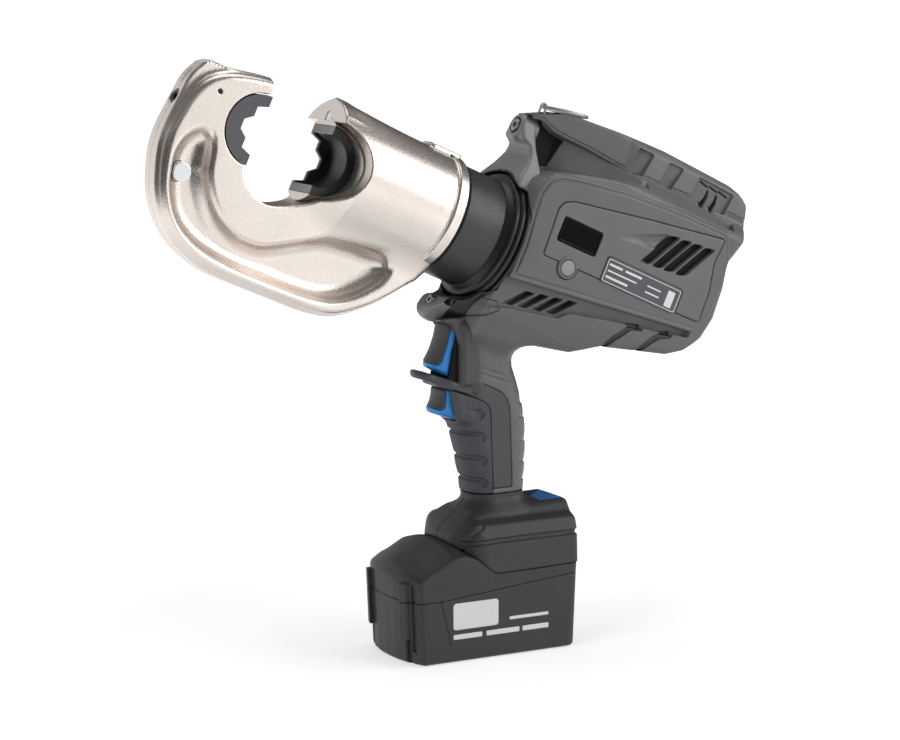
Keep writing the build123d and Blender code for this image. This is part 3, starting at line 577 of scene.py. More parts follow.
# Press head, in the axis frame
HEAD_R = 39.4
HEAD_REAR = -37.5
HEAD_BLEND = 13.0
RIM_R = 40.4
RIM_LONG = 7.2
TOP_PAD = (42.2, 9.0, -61)
TAPER_FROM = -112
TAPER = 0.364
ROOF = (0.923, 0.385, 38.3)
BORE_R = 28.5
RETAINER = (29.95, -42, 1.4)
PLATE_HALF = 16.5
EDGE_R = 4.5
CREST_HALF = 8.5
TEETH = (-222, 2.2)
POCKET_FLOOR = 5.6
POCKET_DRAFT = 0.5
SEAT = (-181.5, 0)
SEAT_R = 23.9
DOOR = (-136.0, 0)
DOOR_R = 26.2
KEY_WAY = ((-123.8, 0, 27), (11.2, 3.05, 5.1))
RELEASE = (-218.7, -42.7)
RELEASE_R = 6.45
STOP = (-216.5, 12.4)
STOP_R = 1.52
SCREW_HOLE = (5.05, -229)
PLUNGER_HOLE = (4.1, -190)
OUTER = [
    (-184, 34), (-196, 32.2), (-208, 30), (-221, 29.2), (-228, 28.4), (-232, 23), (-236, 12), (-237, 0),
    (-238.5, -22.8), (-236.5, -38), (-228.5, -59.4), (-216, -76), (-200, -86.5), (-177, -92.8),
    (-150, -93.2), (-123, -92.6), (-101, -92), (-83, -87.8), (-65, -75.6), (-53, -64), (-38.2, -46.4),
]
PLATE_EDGE = [
    (-184, 32.6), (-196, 30.6), (-212.5, 25.6), (-225, 17.2), (-232.2, 4.8), (-235.4, -9), (-236.9, -22.8),
    (-235, -37.6), (-227.2, -58.8), (-215, -75), (-199.4, -85.2), (-176.7, -91.4), (-150, -91.8),
    (-123, -91.2), (-101.4, -90.6), (-83.8, -86.5), (-66, -74.4), (-54, -62.8), (-39.2, -45.4),
]
INSIDE = [(-38.2, -30), (-38.2, 20), (-120, 34)]
THROAT = [
    (-184, -22), (-181.8, -29.8), (-174, -36), (-166.4, -39.3), (-156, -39.8), (-141.8, -34.5),
    (-130, -27), (-124, -18),
]
MOUTH_TOP = [(-124, 0), (-134, 0), (-134, 90), (-184, 90)]
POCKET = [
    (-217.8, -12), (-210.5, -13), (-205.4, -22), (-202.4, -35), (-195.7, -47), (-185, -57.9),
    (-170.7, -64.6), (-158.9, -65.5), (-148.3, -63.4), (-129.4, -53.5), (-112, -44.6), (-95.4, -41.6),
    (-79, -40), (-68, -39.6), (-61, -43.6), (-59.4, -50), (-63.5, -59.5), (-77.6, -73.6), (-92, -81.6),
    (-108, -84.8), (-133.5, -86), (-164.7, -86), (-188, -83.8), (-204, -78), (-214, -70.5),
    (-221.5, -60), (-226, -50), (-228.6, -39), (-229, -30), (-226, -20),
]
outer_edge = Outline(np.concatenate((curve(OUTER, closed=False), INSIDE)))
plate_edge = Outline(np.concatenate((curve(PLATE_EDGE, closed=False), INSIDE)))
mouth_edge = Outline(np.concatenate((curve(THROAT, closed=False), MOUTH_TOP)))
pocket_edge = softened(Outline(curve(POCKET)), 16)


def barrel(a, y, v, r):
    """Cylinder with a tapered, gabled front and a pad on top, and apart from it the rim at its rear."""
    radius = HEAD_R - TAPER * np.maximum(0, TAPER_FROM - a) * ease(12, -8, v)
    tube = (r - radius) * 0.96
    roof = v * ROOF[0] + np.abs(y) * ROOF[1] - ROOF[2]
    gable = np.maximum(roof, r - HEAD_R - 2.2 * ease(28, 40, v))
    share = ease(TAPER_FROM, -127, a) * ease(0, 18, v)
    tube = tube * (1 - share) + gable * share
    tube = meet(tube, slab(a, -172, HEAD_REAR), 0.9)
    rim = meet(r - RIM_R, slab(a, HEAD_REAR - RIM_LONG, HEAD_REAR), 0.9)
    pad_r, pad_half, pad_front = TOP_PAD
    pad = meet(r - pad_r, meet(np.abs(y) - pad_half, slab(a, pad_front, HEAD_REAR), 2.5), 1.2)
    return melt(tube, np.maximum(pad, -v), 1.5), rim


def head_shape(a, y, v):
    ay = np.abs(y)
    r = np.hypot(y, v)
    tip = ease(-229, -227, a) * ease(-213, -216, a) * ease(18, 24, v)
    teeth = 0.5 * np.cos((a - TEETH[0]) * 2 * np.pi / TEETH[1]) * tip
    line = 0.3 * ease(0.9, 0.3, ay) * ease(24, 18, v)
    crest = meet(outer_edge(a, v) + 0.5 * ease(18, 24, v) - teeth - line, ay - CREST_HALF, 1.8)
    web = melt(meet(plate_edge(a, v), ay - PLATE_HALF, EDGE_R), crest, 6.0)
    tube, rim = barrel(a, y, v, r)
    d = melt(web, tube, HEAD_BLEND)
    wall = (pocket_edge(a, v) + POCKET_DRAFT * (PLATE_HALF - ay)) * 0.9
    d = cut(d, meet(wall, POCKET_FLOOR - ay, 5.5), 2.4)
    d = np.minimum(d, rim)
    d = cut(d, np.hypot(a - HEAD_REAR + 7.9, r - HEAD_R - 0.2) - 0.8 * ease(-30, -24, v), 0.3)
    mouth = np.minimum(mouth_edge(a, v), away(a, v, SEAT) - SEAT_R)
    d = cut(d, np.minimum(mouth, away(a, v, DOOR) - DOOR_R), 0.9)
    d = cut(d, np.maximum(r - BORE_R, ARCH - 10 - a), 0.5)
    groove_r, groove_a, groove_half = RETAINER
    d = less(d, np.maximum(r - groove_r, np.abs(a - groove_a) - groove_half), brick(a, y, v, *KEY_WAY, 0.1))
    d = cut(d, np.maximum(away(a, v, RELEASE) - RELEASE_R, y - 5.5), 0.4)
    d = cut(d, away(a, v, STOP) - STOP_R, 0.4)
    d = cut(d, np.maximum(r - SCREW_HOLE[0], a - SCREW_HOLE[1]), 0.6)
    return less(d, np.maximum(r - PLUNGER_HOLE[0], a - PLUNGER_HOLE[1]))


def release_cap_shape(a, y, v):
    return meet(away(a, v, RELEASE) - RELEASE_R + 0.12, slab(y, -13.2, 2.0), 0.8)


head = cast("press_head", head_shape, (-241, -43, -96), (-36, 43, 44), place=from_axis)
fit(head, "head", "satin_nickel", "head_frame")
cap = cast("release_cap", release_cap_shape, (-226, -14, -50), (-211, 3, -35), 0.45, from_axis)
fit(cap, "release", "bright_steel", "release_pin")

# Moving die: a toothed nest at its far side, a plain bore in the rest
DIE_R = 23.0
NEST = mirror([(-5, 16.2), (0, 16.2), (7.2, 13.6), (7.2, 7.3), (12.6, 3.2)], 1, -1)
NEST_BORE = 17.3
NEST_FROM = 11.5
nest_edge = Outline([(ARCH + a, v) for a, v in NEST], step=0.5, margin=14)


def moving_die_shape(a, y, v):
    off = np.hypot(a - ARCH, v)
    d = meet(meet(off - DIE_R, ARCH - a, 0.3), np.abs(y) - DIE_HALF, 0.4)
    d = cut(d, np.maximum(nest_edge(a, v), NEST_FROM - y), 0.2)
    return cut(d, np.maximum(off - NEST_BORE, y - NEST_FROM), 0.3)


die = cast("moving_die_face", moving_die_shape, (-135, -17, -25), (-110, 17, 25), 0.5, from_axis)
# The moving die takes the near-black look: painted shade, with painted highlights on its face and far edge
fit(die, "ram", "die_steel", "moving_die", look="die_painted_shade")

# Front flange with its lugs, in the axis frame
FLANGE_R = 46.4
FLANGE_A = (6.2, 8.8)
TUBE_R = 37.6
COLLAR_R = 45.0
TOP_BOLT_V = 77.0
LOW_BOLT_V = -52.3
BOLT_HOLE_R = 3.05
BOSS_R = 8.4
BOSS_A = (-4.2, 10)
BOSS_HOLLOW = (5.6, 0.6)
LUG_TIP = -8.0
TOP_TAPER = (8.0, 40.0, TOP_BOLT_V, 8.2)
LOW_TAPER = (-4.0, 43.0, -58.6, 7.8)
LUG_SIDE = [
    (-3.4, 70), (-4, 77), (-3.6, 84), (-0.6, 87.6), (5, 90), (9, 90.2), (6.4, 80), (9.4, 66), (14.5, 53),
    (18, 47), (18, 36), (-2.5, 36), (-2, 42), (0, 46.5), (2.4, 52), (4.6, 60), (4, 66),
]
LOW_LUG_SIDE = [
    (18, -30), (1.5, -36), (-1, -42), (-6, -46), (-12.1, -48), (-16.2, -52.8), (-19.6, -58), (-19.8, -62),
    (-17, -65.4), (-11.9, -67), (-6, -64.5), (0, -60), (10, -50), (18, -42.5),
]
lug_side = Outline(rounded(LUG_SIDE, 4.0))
low_lug_side = Outline(rounded(LOW_LUG_SIDE, [2, 2, 3, 2, 2, 3, 2.5, 2.5, 2, 2, 2, 4, 4, 2]))


def tapered(y, v, v0, r0, v1, r1):
    """Distance to the hull of two circles on the v axis."""
    h = abs(v1 - v0)
    py, pv = np.abs(y), (v - v0) * (1.0 if v1 > v0 else -1.0)
    b = (r0 - r1) / h
    a = math.sqrt(1 - b * b)
    k = -b * py + a * pv
    low = np.hypot(py, pv) - r0
    high = np.hypot(py, pv - h) - r1
    return np.where(k < 0, low, np.where(k > a * h, high, py * a + pv * b - r0))


def flange_shape(a, y, v):
    r = np.hypot(y, v)
    off = np.hypot(y, v - TOP_BOLT_V)
    disc = meet(r - FLANGE_R, slab(a, *FLANGE_A), 1.5)
    neck = meet(tapered(y, v, *TOP_TAPER), lug_side(a, v), 2.2)
    d = melt(join(disc, neck, 3.0), meet(off - BOSS_R, slab(a, *BOSS_A), 1.6), 2.0)
    d = join(d, meet(tapered(y, v, *LOW_TAPER), low_lug_side(a, v), 2.0), 2.5)
    d = cut(d, r - TUBE_R - 0.1, 0.3)
    d = less(d, np.maximum(r - COLLAR_R - 0.4, a - 6.3))
    d = cut(d, np.maximum(off - BOSS_HOLLOW[0], a - BOSS_HOLLOW[1]), 0.5)
    return less(d, off - BOLT_HOLE_R, np.hypot(y, v - LOW_BOLT_V) - BOLT_HOLE_R)


def top_lug_shape(a, y, v):
    return np.maximum(less(flange_shape(a, y, v), np.hypot(y, v) - FLANGE_R - 0.1), -v)


def low_flange_shape(a, y, v):
    d = np.maximum(flange_shape(a, y, v), np.minimum(np.hypot(y, v) - FLANGE_R, v))
    return np.maximum(d, LUG_TIP - a)


def lug_tip_shape(a, y, v):
    return np.maximum(np.maximum(flange_shape(a, y, v), v), a - LUG_TIP + 0.1)


top_lug = cast("top_lug", top_lug_shape, (-8, -30, 30), (20, 30, 92), place=from_axis)
fit(top_lug, "housing", "black_plastic", "front_frame", look="lug_plastic")
lug_tip = cast("low_lug_tip", lug_tip_shape, (-22, -14, -69), (-6, 14, -40), place=from_axis)
fit(lug_tip, "housing", "black_plastic", "front_frame", look="lug_plastic")
flange = cast("front_flange", low_flange_shape, (-10, -48, -70), (20, 48, 48), place=from_axis)
fit(flange, "housing", "black_plastic", "front_frame")

# Socket head screws in the two lugs: height, front, seat and radius of each head
BOLT_HEADS = [(TOP_BOLT_V, -5.4, 0.6, 4.3), (LOW_BOLT_V, -17.2, -12.6, 3.6)]
BOLT_R = 2.9
BOLT_END = 12
SOCKET_DEEP = 2.2


def bolt_shape(a, y, v):
    d = np.full(a.shape, FAR)
    for bolt_v, front, seat, radius in BOLT_HEADS:
        off = np.hypot(y, v - bolt_v)
        turn = np.arctan2(y, v - bolt_v)
        socket = off * np.cos(np.mod(turn, np.pi / 3) - np.pi / 6) - 0.42 * radius
        top = meet(off - radius, slab(a, front, seat), 1.0)
        top = cut(top, np.maximum(socket, a - front - SOCKET_DEEP), 0.25)
        d = np.minimum(d, np.minimum(top, np.maximum(off - BOLT_R, slab(a, front + 3, BOLT_END))))
    return d


bolts = cast("lug_screws", bolt_shape, (-18, -6, -58), (13, 6, 83), 0.45, from_axis)
fit(bolts, "housing", "black_steel", "flange_bolts", look="bolt_steel")

# Collar with two beads and a groove between them: middle, reach and radius of each bead
BEADS = [(0.4, 2.0, 43.4), (4.0, 1.9, COLLAR_R)]
BEAD_HIGH = 1.5


def bead_profile():
    top = []
    for middle, reach, radius in BEADS:
        for k in range(9):
            t = math.pi * (1 - k / 8)
            top.append((middle + reach * math.cos(t), radius - BEAD_HIGH + BEAD_HIGH * math.sin(t)))
    return [(-6.0, TUBE_R + 0.1), (-6.0, 38.1), (-1.8, 38.4)] + top + [(6.0, TUBE_R + 0.1)]


collar = lathe("collar_beads", bead_profile())
fit(collar, "housing", "black_plastic", "collar_ring", look="black_rubber_dark")

# Seal behind the head, near-black as painted shade for the gap between the head and the tube
seal = lathe("rear_seal", [
    (HEAD_REAR + 0.25, TUBE_R + 0.06), (HEAD_REAR + 0.25, HEAD_R - 0.7), (HEAD_REAR + 1.9, HEAD_R - 0.5),
    (HEAD_REAR + 3.0, HEAD_R - 1.1), (HEAD_REAR + 3.2, TUBE_R + 0.06),
])
fit(seal, "housing", "black_rubber", look="painted_shade_black")

# Body of the housing, in the axis frame
BODY = [
    (0, 82.5), (-1, 87.5), (4.5, 91.4), (14, 94.6), (30, 97.6), (52, 99.2), (100, 103), (158, 100.6),
    (167, 98.2), (175, 92.5), (179.5, 79), (175.5, 66), (168.2, 49), (172.4, 32), (174, 10), (169.5, -6),
    (160, -18), (148, -25.4), (133, -29.4), (99, -38.4), (81, -50), (56, -55), (42, -61), (12, -64),
    (6, -46), (9, -22), (9, 2), (6, 30), (5.5, 40), (9, 49), (15, 56), (12, 80),
]
CROSS = [
    (10, 105.5), (21, 102), (25.5, 96), (27.5, 78), (41.8, 67), (42, 20), (42, -8), (40, -24), (34, -46),
    (22, -68),
]
REAR_PLAN = [(-20, 44), (150, 44), (166, 43), (176, 40), (181, 33), (182, 18)]
RIDGE = [
    (9.1, -22.1), (9.7, 1.1), (7.0, 28), (6.4, 38), (10.1, 48.6), (17.5, 53.6), (33.7, 57.5), (71.7, 63.6),
    (110, 66.5), (158, 67.5), (166, 50), (168, 30), (167, 10), (160, -5), (150, -6),
]
PANEL = [
    (27.1, 1.2), (26.4, 20), (25.6, 33), (28, 38), (35, 41.2), (95, 52), (156.6, 62), (154.5, 45), (159, 26),
    (160, 3.4), (150, 3),
]
PANEL_Y = 42.6
BED_Y = 40.6
LEDGE = ((10.0, -22.0), (155.0, -5.3))
LEDGE_Y = 36.6
NOTCHES = [
    [(77.4, 95.6), (89.5, 95.6), (85.6, 78.6), (73.2, 78.2)],
    [(103.6, 95.6), (115.6, 95.8), (110.6, 79.0), (99.4, 78.8)],
    [(130.0, 95.8), (160.6, 94.6), (157.8, 79.2), (126.2, 79.0)],
]
GILLS = [
    [(140.5, 89.6), (140.9, 85.3), (139.6, 80.2), (136.4, 77.6)],
    [(148.6, 89.1), (149.0, 84.0), (148.0, 79.8), (145.2, 77.6)],
]
GILL_TOPS = [[(132.0, 93.4), (139.1, 92.1)], [(140.6, 93.0), (147.6, 91.7)], [(149.0, 92.5), (156.6, 91.2)]]
REAR_STEP = (165.2, 70.8)
CHEVRONS = [
    [(119.5, -16.6), (112, -18.6), (106.4, -27.2), (104.2, -29.6), (100.8, -36.4)],
    [(143.5, -12.6), (136, -16), (132.4, -20.4), (130.4, -23), (126, -30.4)],
]
CHEVRON_HALF = 2.1
body_side = Outline(rounded(BODY, 6.0))
body_cross = Outline(rounded(mirror(CROSS, -1, 1), 4.0))
body_plan = Outline(rounded(mirror(REAR_PLAN, 1, -1), 6.0))
ridge_edge = Outline(rounded(RIDGE, [3, 6, 6, 8, 8, 8, 8, 8, 8, 6, 8, 8, 8, 5, 3]))
panel_edge = Outline(rounded(PANEL, [2, 3, 3, 4, 6, 9, 2, 6, 6, 2, 2]))
notch_edges = [Outline(rounded(points, 1.0), step=0.8, margin=12.0) for points in NOTCHES]
rail_half = graded((-20, 9.5), (5, 11.0), (20, 13.5), (86, 25.5), (130, 26.5), (180, 26.5))
rail_low = graded(
    (-20, 82), (-2, 83.4), (7, 85.2), (12, 83.8), (18.5, 81.3), (30, 80.6), (43, 80.2), (74, 77.4),
    (101, 77.7), (130, 79.4), (171, 80.5),
)
scoop_half = graded((0, 5.0), (24, 5.0), (34, 9.5), (60, 18.0), (86, 29.0))
scoop_low = graded((0, 44), (10, 48), (16, 54), (35, 60.5), (67, 68), (86, 72))
scoop_round = graded((0, 4), (26, 4), (86, 2.5))
strip_low = graded(
    (-10, -54), (6, -45), (20, -40), (58, -33), (64, -27.5), (90, -21.5), (117, -16.8),
    (151, -10.5), (170, -8),
)


def straight(u, line):
    """Height of the straight line through two points."""
    (u0, v0), (u1, v1) = line
    return v0 + (u - u0) * (v1 - v0) / (u1 - u0)


def body_shape(a, y, v, grooved=True):
    ay = np.abs(y)
    side = body_side(a, v)
    cross = body_cross(y, v)
    plan = body_plan(a, ay)
    half = rail_half(a)
    foot = rail_low(a)
    ridge = ridge_edge(a, v)
    d = meet(meet(side, cross, 4.0), plan, 7.0)

    # Scoop below the top rail, then the rail with its two seams
    scoop = meet((scoop_low(a) - v) * 0.96, (scoop_half(a) - ay) * 0.97, scoop_round(a))
    d = cut(d, np.maximum(scoop, a - 90), 2.0)
    rail = meet(meet(side, (foot - v) * 0.98, 0.8), (ay - half) * 0.98, 2.0)
    rail = meet(rail, cross + 0.2, 3.0)
    d = np.minimum(d, meet(rail, plan, 8.0))
    beside = ease(-3.5, -2.0, ay - half)
    d = d + 0.7 * ease(0.9, 0.3, np.abs(v - foot - 1.9)) * beside
    d = d + 0.7 * ease(1.1, 0.2, np.abs(v - foot)) * ease(60, 74, a) * beside

    # Raised side with a groove inside its edge, and the ledge below it
    platform = meet(meet(ridge, ay - PANEL_Y + 0.3, 1.6), 30 - ay, 0.1)
    d = join(d, meet(platform, plan - 0.8, 3.0), 1.0)
    d = d + 0.8 * ease(1.2, 0.3, np.abs(ridge + 3.2)) * ease(36, 40, ay) * (0.35 + 0.65 * ease(90, 30, a))
    ledge = straight(a, LEDGE)
    under = np.maximum(v - ledge, strip_low(a) - v)
    d = cut(d, meet(meet(under, a - 158, 2.0), LEDGE_Y + (v - ledge) * 0.22 - ay, 0.3), 0.6)

    # Notches and gills of the rail, and the step at its rear
    for edge in notch_edges:
        d = cut(d, meet(edge(a, v), half - 2.3 - ay, 0.4), 0.3)
    for points in GILLS:
        slit = path(a, v, points) - 0.5 - 0.9 * ease(92, 80, v)
        d = cut(d, meet(slit, half - 7.0 - ay, 0.3), 0.3)
    d = cut(d, meet(paths(a, v, GILL_TOPS) - 0.45, half - 5.0 - ay, 0.2), 0.2)
    step = meet(a - REAR_STEP[0], slab(v, REAR_STEP[1], foot), 0.4)
    d = cut(d, np.maximum(step, np.maximum(150 - a, 29.6 - ay)), 0.5)
    if grooved:
        for points in CHEVRONS:
            d = cut(d, meet(path(a, v, points) - CHEVRON_HALF, -d - 2.4, 0.3), 0.3)
    return d


# Louvres and slots: the middle of each, and the form that they share
LOUVRES = [(110.4, 36.7), (120.4, 37.6), (129.9, 38.5), (139.9, 39.5)]
LOUVRE = dict(half=(3.3, 11.0), lean=(0.529, 0.849), rise=0.185, shrink=(0.751, 0.738), r=1.8)
LOUVRE_DEEP = 38.1
SLOTS = [(26.7, -30.9), (37.6, -28.9), (48.7, -27.0), (59.5, -25.1)]
SLOT = dict(half=(2.35, 5.9), lean=(0.674, 0.739), rise=0.115, shrink=(0.66, 0.66), r=0.3)
SLOT_DEEP = 26.0
LEAD_IN = [(77.0, 33.6), (112.0, 42.5)]
LEAD_IN_Y = 44.5


def slanted(a, v, middle, half, lean, rise, shrink, r):
    """Opening whose long sides follow lean and whose ends rise to the rear."""
    da, dv = a - middle[0], v - middle[1]
    along = (dv - da * rise) / (lean[1] - lean[0] * rise)
    across = da - along * lean[0]
    return meet(np.abs(across) * shrink[0] - half[0], np.abs(along) * shrink[1] - half[1], r)


def vents_shape(a, y, v):
    ay = np.abs(y)
    t = np.clip((a - LEAD_IN[0][0]) / (LEAD_IN[1][0] - LEAD_IN[0][0]), 0, 1)
    d = np.hypot(path(a, v, LEAD_IN) * 0.8, ay - LEAD_IN_Y) - (1.8 + 3.4 * t)
    for middles, form, deep in ((LOUVRES, LOUVRE, LOUVRE_DEEP), (SLOTS, SLOT, SLOT_DEEP)):
        for middle in middles:
            d = np.minimum(d, meet(slanted(a, v, middle, **form), deep - ay, 0.3))
    return d


# Handle, in the level frame: height, front, back and half width
HANDLE = [
    (80, -4, 36, 17), (94, -4.5, 36, 17), (105, -5.5, 36.4, 17.2), (118, -7.3, 37.3, 17.4),
    (130, -9.8, 37.8, 17.4), (140, -11.8, 38, 17.4), (150, -15, 37.6, 17.4), (158, -17, 36.8, 17.6),
    (170, -16, 33.5, 18), (180, -14.5, 30.5, 18.2), (190, -13.5, 26.8, 18.6), (200, -13, 25.8, 19),
    (212, -12, 28, 20), (225, -11, 34, 21.5), (240, -10, 40, 23), (260, -8, 46, 25),
]
HANDLE_TOP = 262
HANDLE_BLEND = 13.0
handle_front, handle_back, handle_half = [graded(*[(row[0], row[k]) for row in HANDLE]) for k in (1, 2, 3)]


def handle_shape(x, y, z):
    front, back, half = handle_front(z), handle_back(z), handle_half(z)
    d = rect(x - (front + back) / 2, y, (back - front) / 2, half, np.minimum(half - 1.5, 15.5))
    return np.maximum(d, z - HANDLE_TOP)


def skin_shape(x, y, z):
    a, v = to_axis(x, z)
    return join(body_shape(a, y, v), handle_shape(x, y, z), HANDLE_BLEND)


# Zones of the skin, drawn on the side view in the level frame
GRIP_LINE = [
    (-60, 184), (-25.2, 179.1), (-7.3, 172.5), (-0.9, 169.8), (3.3, 166.4), (5.2, 161.4), (5.7, 146.8),
]
GRIP_ZONE = GRIP_LINE + [(7.4, 106.3), (-60, 106.3)]
FRAME_ZONE = [
    (1.4, 238), (1.4, 232.3), (-7.8, 229.2), (-15.4, 225.8), (-11.8, 220.0), (-10.5, 214), (-10.5, 199.3),
    (-11.6, 191), (-9.5, 186.4), (-4.2, 182.9), (5.4, 178.8), (12.9, 174.9), (17.2, 170.4), (19.3, 164.9),
    (20.2, 155.4), (22.0, 109.6), (7.4, 109.6), *reversed(GRIP_LINE), (-60, 262), (-16, 262), (-14, 243),
]
FRAME_ROUND = [1, 1, 4, 3, 4, 6, 6, 5, 5, 5, 8, 8, 8, 8, 8, 1.5, 1.5, 8, 5, 5, 5, 8, 2, 1, 1, 1, 2]
FRAME_SIDE = [
    (-33, 233), (-33, 226.5), (-29, 223.4), (-22.3, 220.2), (-18.6, 215), (-19.6, 209), (-21.2, 204),
    (-23, 193.7), (-24.6, 186.6), (-26, 180.5), (-18, 177.4), (-6, 174), (-6, 238), (-20, 240),
]
FRAME_ARCH = [
    (-33, 233), (-33, 226.5), (-29, 223.4), (-22.3, 220.4), (-18.8, 215), (-17.4, 209), (-8, 206), (-6, 238),
]
ZONE_GAP = 0.12
SPLIT_GAP = 0.04
ZONE_EDGE = 0.7
GRIP_BOTTOM = 106.3
UPPER_SLOT = (186.2, 223.5)
LOWER_SLOT = (156.6, 178.8)
SLOT_HALF = 11.15
SLOT_REACH = (-79.5, -4.5)
frame_zone = Outline(rounded(FRAME_ZONE, FRAME_ROUND))
grip_zone = Outline(rounded(GRIP_ZONE, [1, 2, 8, 5, 5, 5, 8, 1, 1]))
frame_side = Outline(rounded(FRAME_SIDE, 3.0))
frame_arch = Outline(rounded(FRAME_ARCH, 3.0))
guard_top = graded(
    (-60, 223.5), (-33, 225.6), (-24, 226.4), (-16, 226.2), (-8, 229.4), (1.4, 232.4), (10, 235),
)


def drive_room(x, y, z):
    """Space kept for the tube, pump and motor."""
    a, v = to_axis(x, z)
    r = np.hypot(y, v)
    return np.minimum(np.maximum(r - FLANGE_R - 0.3, a - 9.0), np.maximum(r - 40.6, a - 13.4))


def slot_room(x, y, z, ends):
    """Opening that a trigger moves in."""
    front, back = SLOT_REACH
    low, high = ends
    middle = ((front + back) / 2, 0, (low + high) / 2)
    return brick(x, y, z, middle, ((back - front) / 2, SLOT_HALF, (high - low) / 2), 1.0)


# Housing halves; each screw by its place and the depth of its seat
BUTTON = (47.7, -0.4)
BUTTON_R = 5.2
NECK_GROOVES = [((-5.8, 193.0), (23, 183)), ((-7.4, 190), (22.4, 179))]
BACK_RIBS = [164.0, 154.5, 138.5, 124.0, 112.0]
RIB_LONG = 7.0
SCREWS = [(150, 86, 25), (95, 90, 25), (157, -5, 38.5), (75, -43, 33)]
HANDLE_SCREW = (22, 178)
SCREW_R = 3.3
LUG_ROOM = ((-8, 0, 77), (20.4, 8.8, 9.2))


def housing_shape(x, y, z):
    a, v = to_axis(x, z)
    ay = np.abs(y)
    off = away(a, v, BUTTON)
    d = cut(skin_shape(x, y, z), vents_shape(a, y, v), 0.5)
    bed = meet(panel_edge(a, v) - 0.5, BED_Y - ay, 0.3)
    d = cut(d, np.minimum(bed, np.maximum(off - 7.9, BED_Y - ay)), 0.4)
    for p, q in NECK_GROOVES:
        d = d + 0.6 * ease(1.4, 0.5, segment(x, z, p, q)) * ease(15, 18, ay)
    for rib in BACK_RIBS:
        step = z - rib + (x - 36) * 0.25
        d = d + 0.9 * np.clip(1 - step / RIB_LONG, 0, 1) * (step > 0) * ease(24, 31, x) * ease(175, 168, z)
    d = hollow(d, 3.2)
    d = meet(d, -frame_zone(x, z) + ZONE_GAP, ZONE_EDGE)
    d = meet(d, -grip_zone(x, z) + ZONE_GAP, ZONE_EDGE)
    d = meet(d, GRIP_BOTTOM - z, ZONE_EDGE)
    d = less(d, drive_room(x, y, z), brick(a, y, v, *LUG_ROOM, 1.0), slot_room(x, y, z, UPPER_SLOT))
    d = meet(d, SPLIT_GAP - ay, 0.5)
    for screw_a, screw_v, seat in SCREWS:
        d = less(d, np.maximum(away(a, v, (screw_a, screw_v)) - SCREW_R, seat - 4.2 - y))
    d = less(d, np.maximum(away(x, z, HANDLE_SCREW) - SCREW_R, 12.8 - y))
    return less(d, np.maximum(off - BUTTON_R - 0.4, y + 20))


for mark, shell in cast_sides("housing_%s_skin", housing_shape, (-16, 0, 104), (207, 45, 352)):
    fit(shell, "housing", "housing_grey", "housing_" + mark)

# Trigger surround with its finger fin, the core behind it, near-black as painted shade for the recess, and
# the skirt below the flange
FIN_PATH = [(-43.2, 189.0), (-34, 186.3), (-21, 181.6), (-10, 177.5)]
FIN_ROOT = [(-29.5, 182.6), (-21, 180.4), (-10, 176.5)]
FIN_THICK = 2.6
RIDGE_FRONT = -17.0
FIN_TIP = -34.0
FIN_HALF = 11.0
FIN_WIDER = 4.0
CORE_HALF = 12.9


def trigger_frame_shape(x, y, z):
    ay = np.abs(y)
    d = hollow(skin_shape(x, y, z) + 0.25, 3.0)
    d = meet(d, frame_zone(x, z) + ZONE_GAP, ZONE_EDGE)
    d = meet(d, ay - 40, 0.5)
    ridge = meet(meet(slab(x, RIDGE_FRONT, 0), slab(z, 180, 224), 3.0), ay - 17.8, 4.0)
    d = melt(d, ridge, 3.0)
    d = melt(d, meet(frame_arch(x, z), ay - 15.5, 3.0), 2.0)
    d = meet(d, (z - guard_top(x)) * 0.9, 0.8)
    upper = slot_room(x, y, z, UPPER_SLOT)
    d = cut(d, upper, 0.8)
    plan = np.where(x < FIN_TIP, np.hypot(x - FIN_TIP, y), ay) - FIN_HALF - FIN_WIDER * ease(-34, -20, x)
    fin = paths(x, z, (FIN_PATH, FIN_ROOT)) - FIN_THICK
    d = melt(d, meet(fin, plan, 2.1), 2.0)
    d = cut(d, np.maximum(upper, -25 - x), 0.3)
    d = cut(d, slot_room(x, y, z, LOWER_SLOT), 0.5)
    return less(d, drive_room(x, y, z))


def flange_skirt_shape(x, y, z):
    d = np.maximum(skin_shape(x, y, z) + 0.05, frame_zone(x, z) + 0.02)
    d = np.maximum(d, guard_top(x) + 0.2 - z)
    return less(d, drive_room(x, y, z))


def guard_core_shape(x, y, z):
    d = meet(frame_side(x, z), np.abs(y) - CORE_HALF, 1.0)
    d = meet(d, (z - guard_top(x)) * 0.9 + 1.0, 0.8)
    for ends in (UPPER_SLOT, LOWER_SLOT):
        d = cut(d, slot_room(x, y, z, ends), 0.5)
    return less(d, drive_room(x, y, z))


skirt = cast("flange_skirt", flange_skirt_shape, (-40, -41, 222), (6, 41, 262))
fit(skirt, "housing", "black_plastic", "front_frame", look="housing_grey")
core = cast("guard_core", guard_core_shape, (-36, -14, 172), (-4, 14, 242), 0.7)
# The core is near-black: painted shade in the recess round the triggers
fit(core, "housing", "black_plastic", "front_frame", look="painted_shade_black")
guard = cast("trigger_guard", trigger_frame_shape, (-50, -41, 107), (26, 41, 262))
fit(guard, "housing", "black_plastic", "front_frame", look="frame_plastic")

# Soft grip with hooked grooves and a wave for each finger
HOOKS = [
    [(-40, 168), (-22.6, 166.6), (-11.5, 164), (-3.2, 162.6), (-0.8, 160.6), (-2.6, 158.8)],
    [(-40, 150), (-20, 148.4), (-3, 147.6), (0.6, 145.4), (-0.8, 143.4)],
    [(-40, 132.4), (-13.6, 131.2), (-0.8, 131.2), (2.0, 129), (0.6, 127)],
    [(-40, 117.6), (-17.8, 116.6), (0.3, 115.9), (2.6, 113.7), (1.4, 111.8)],
]
WAVE_FROM = 116.5
WAVE_LONG = 15.8


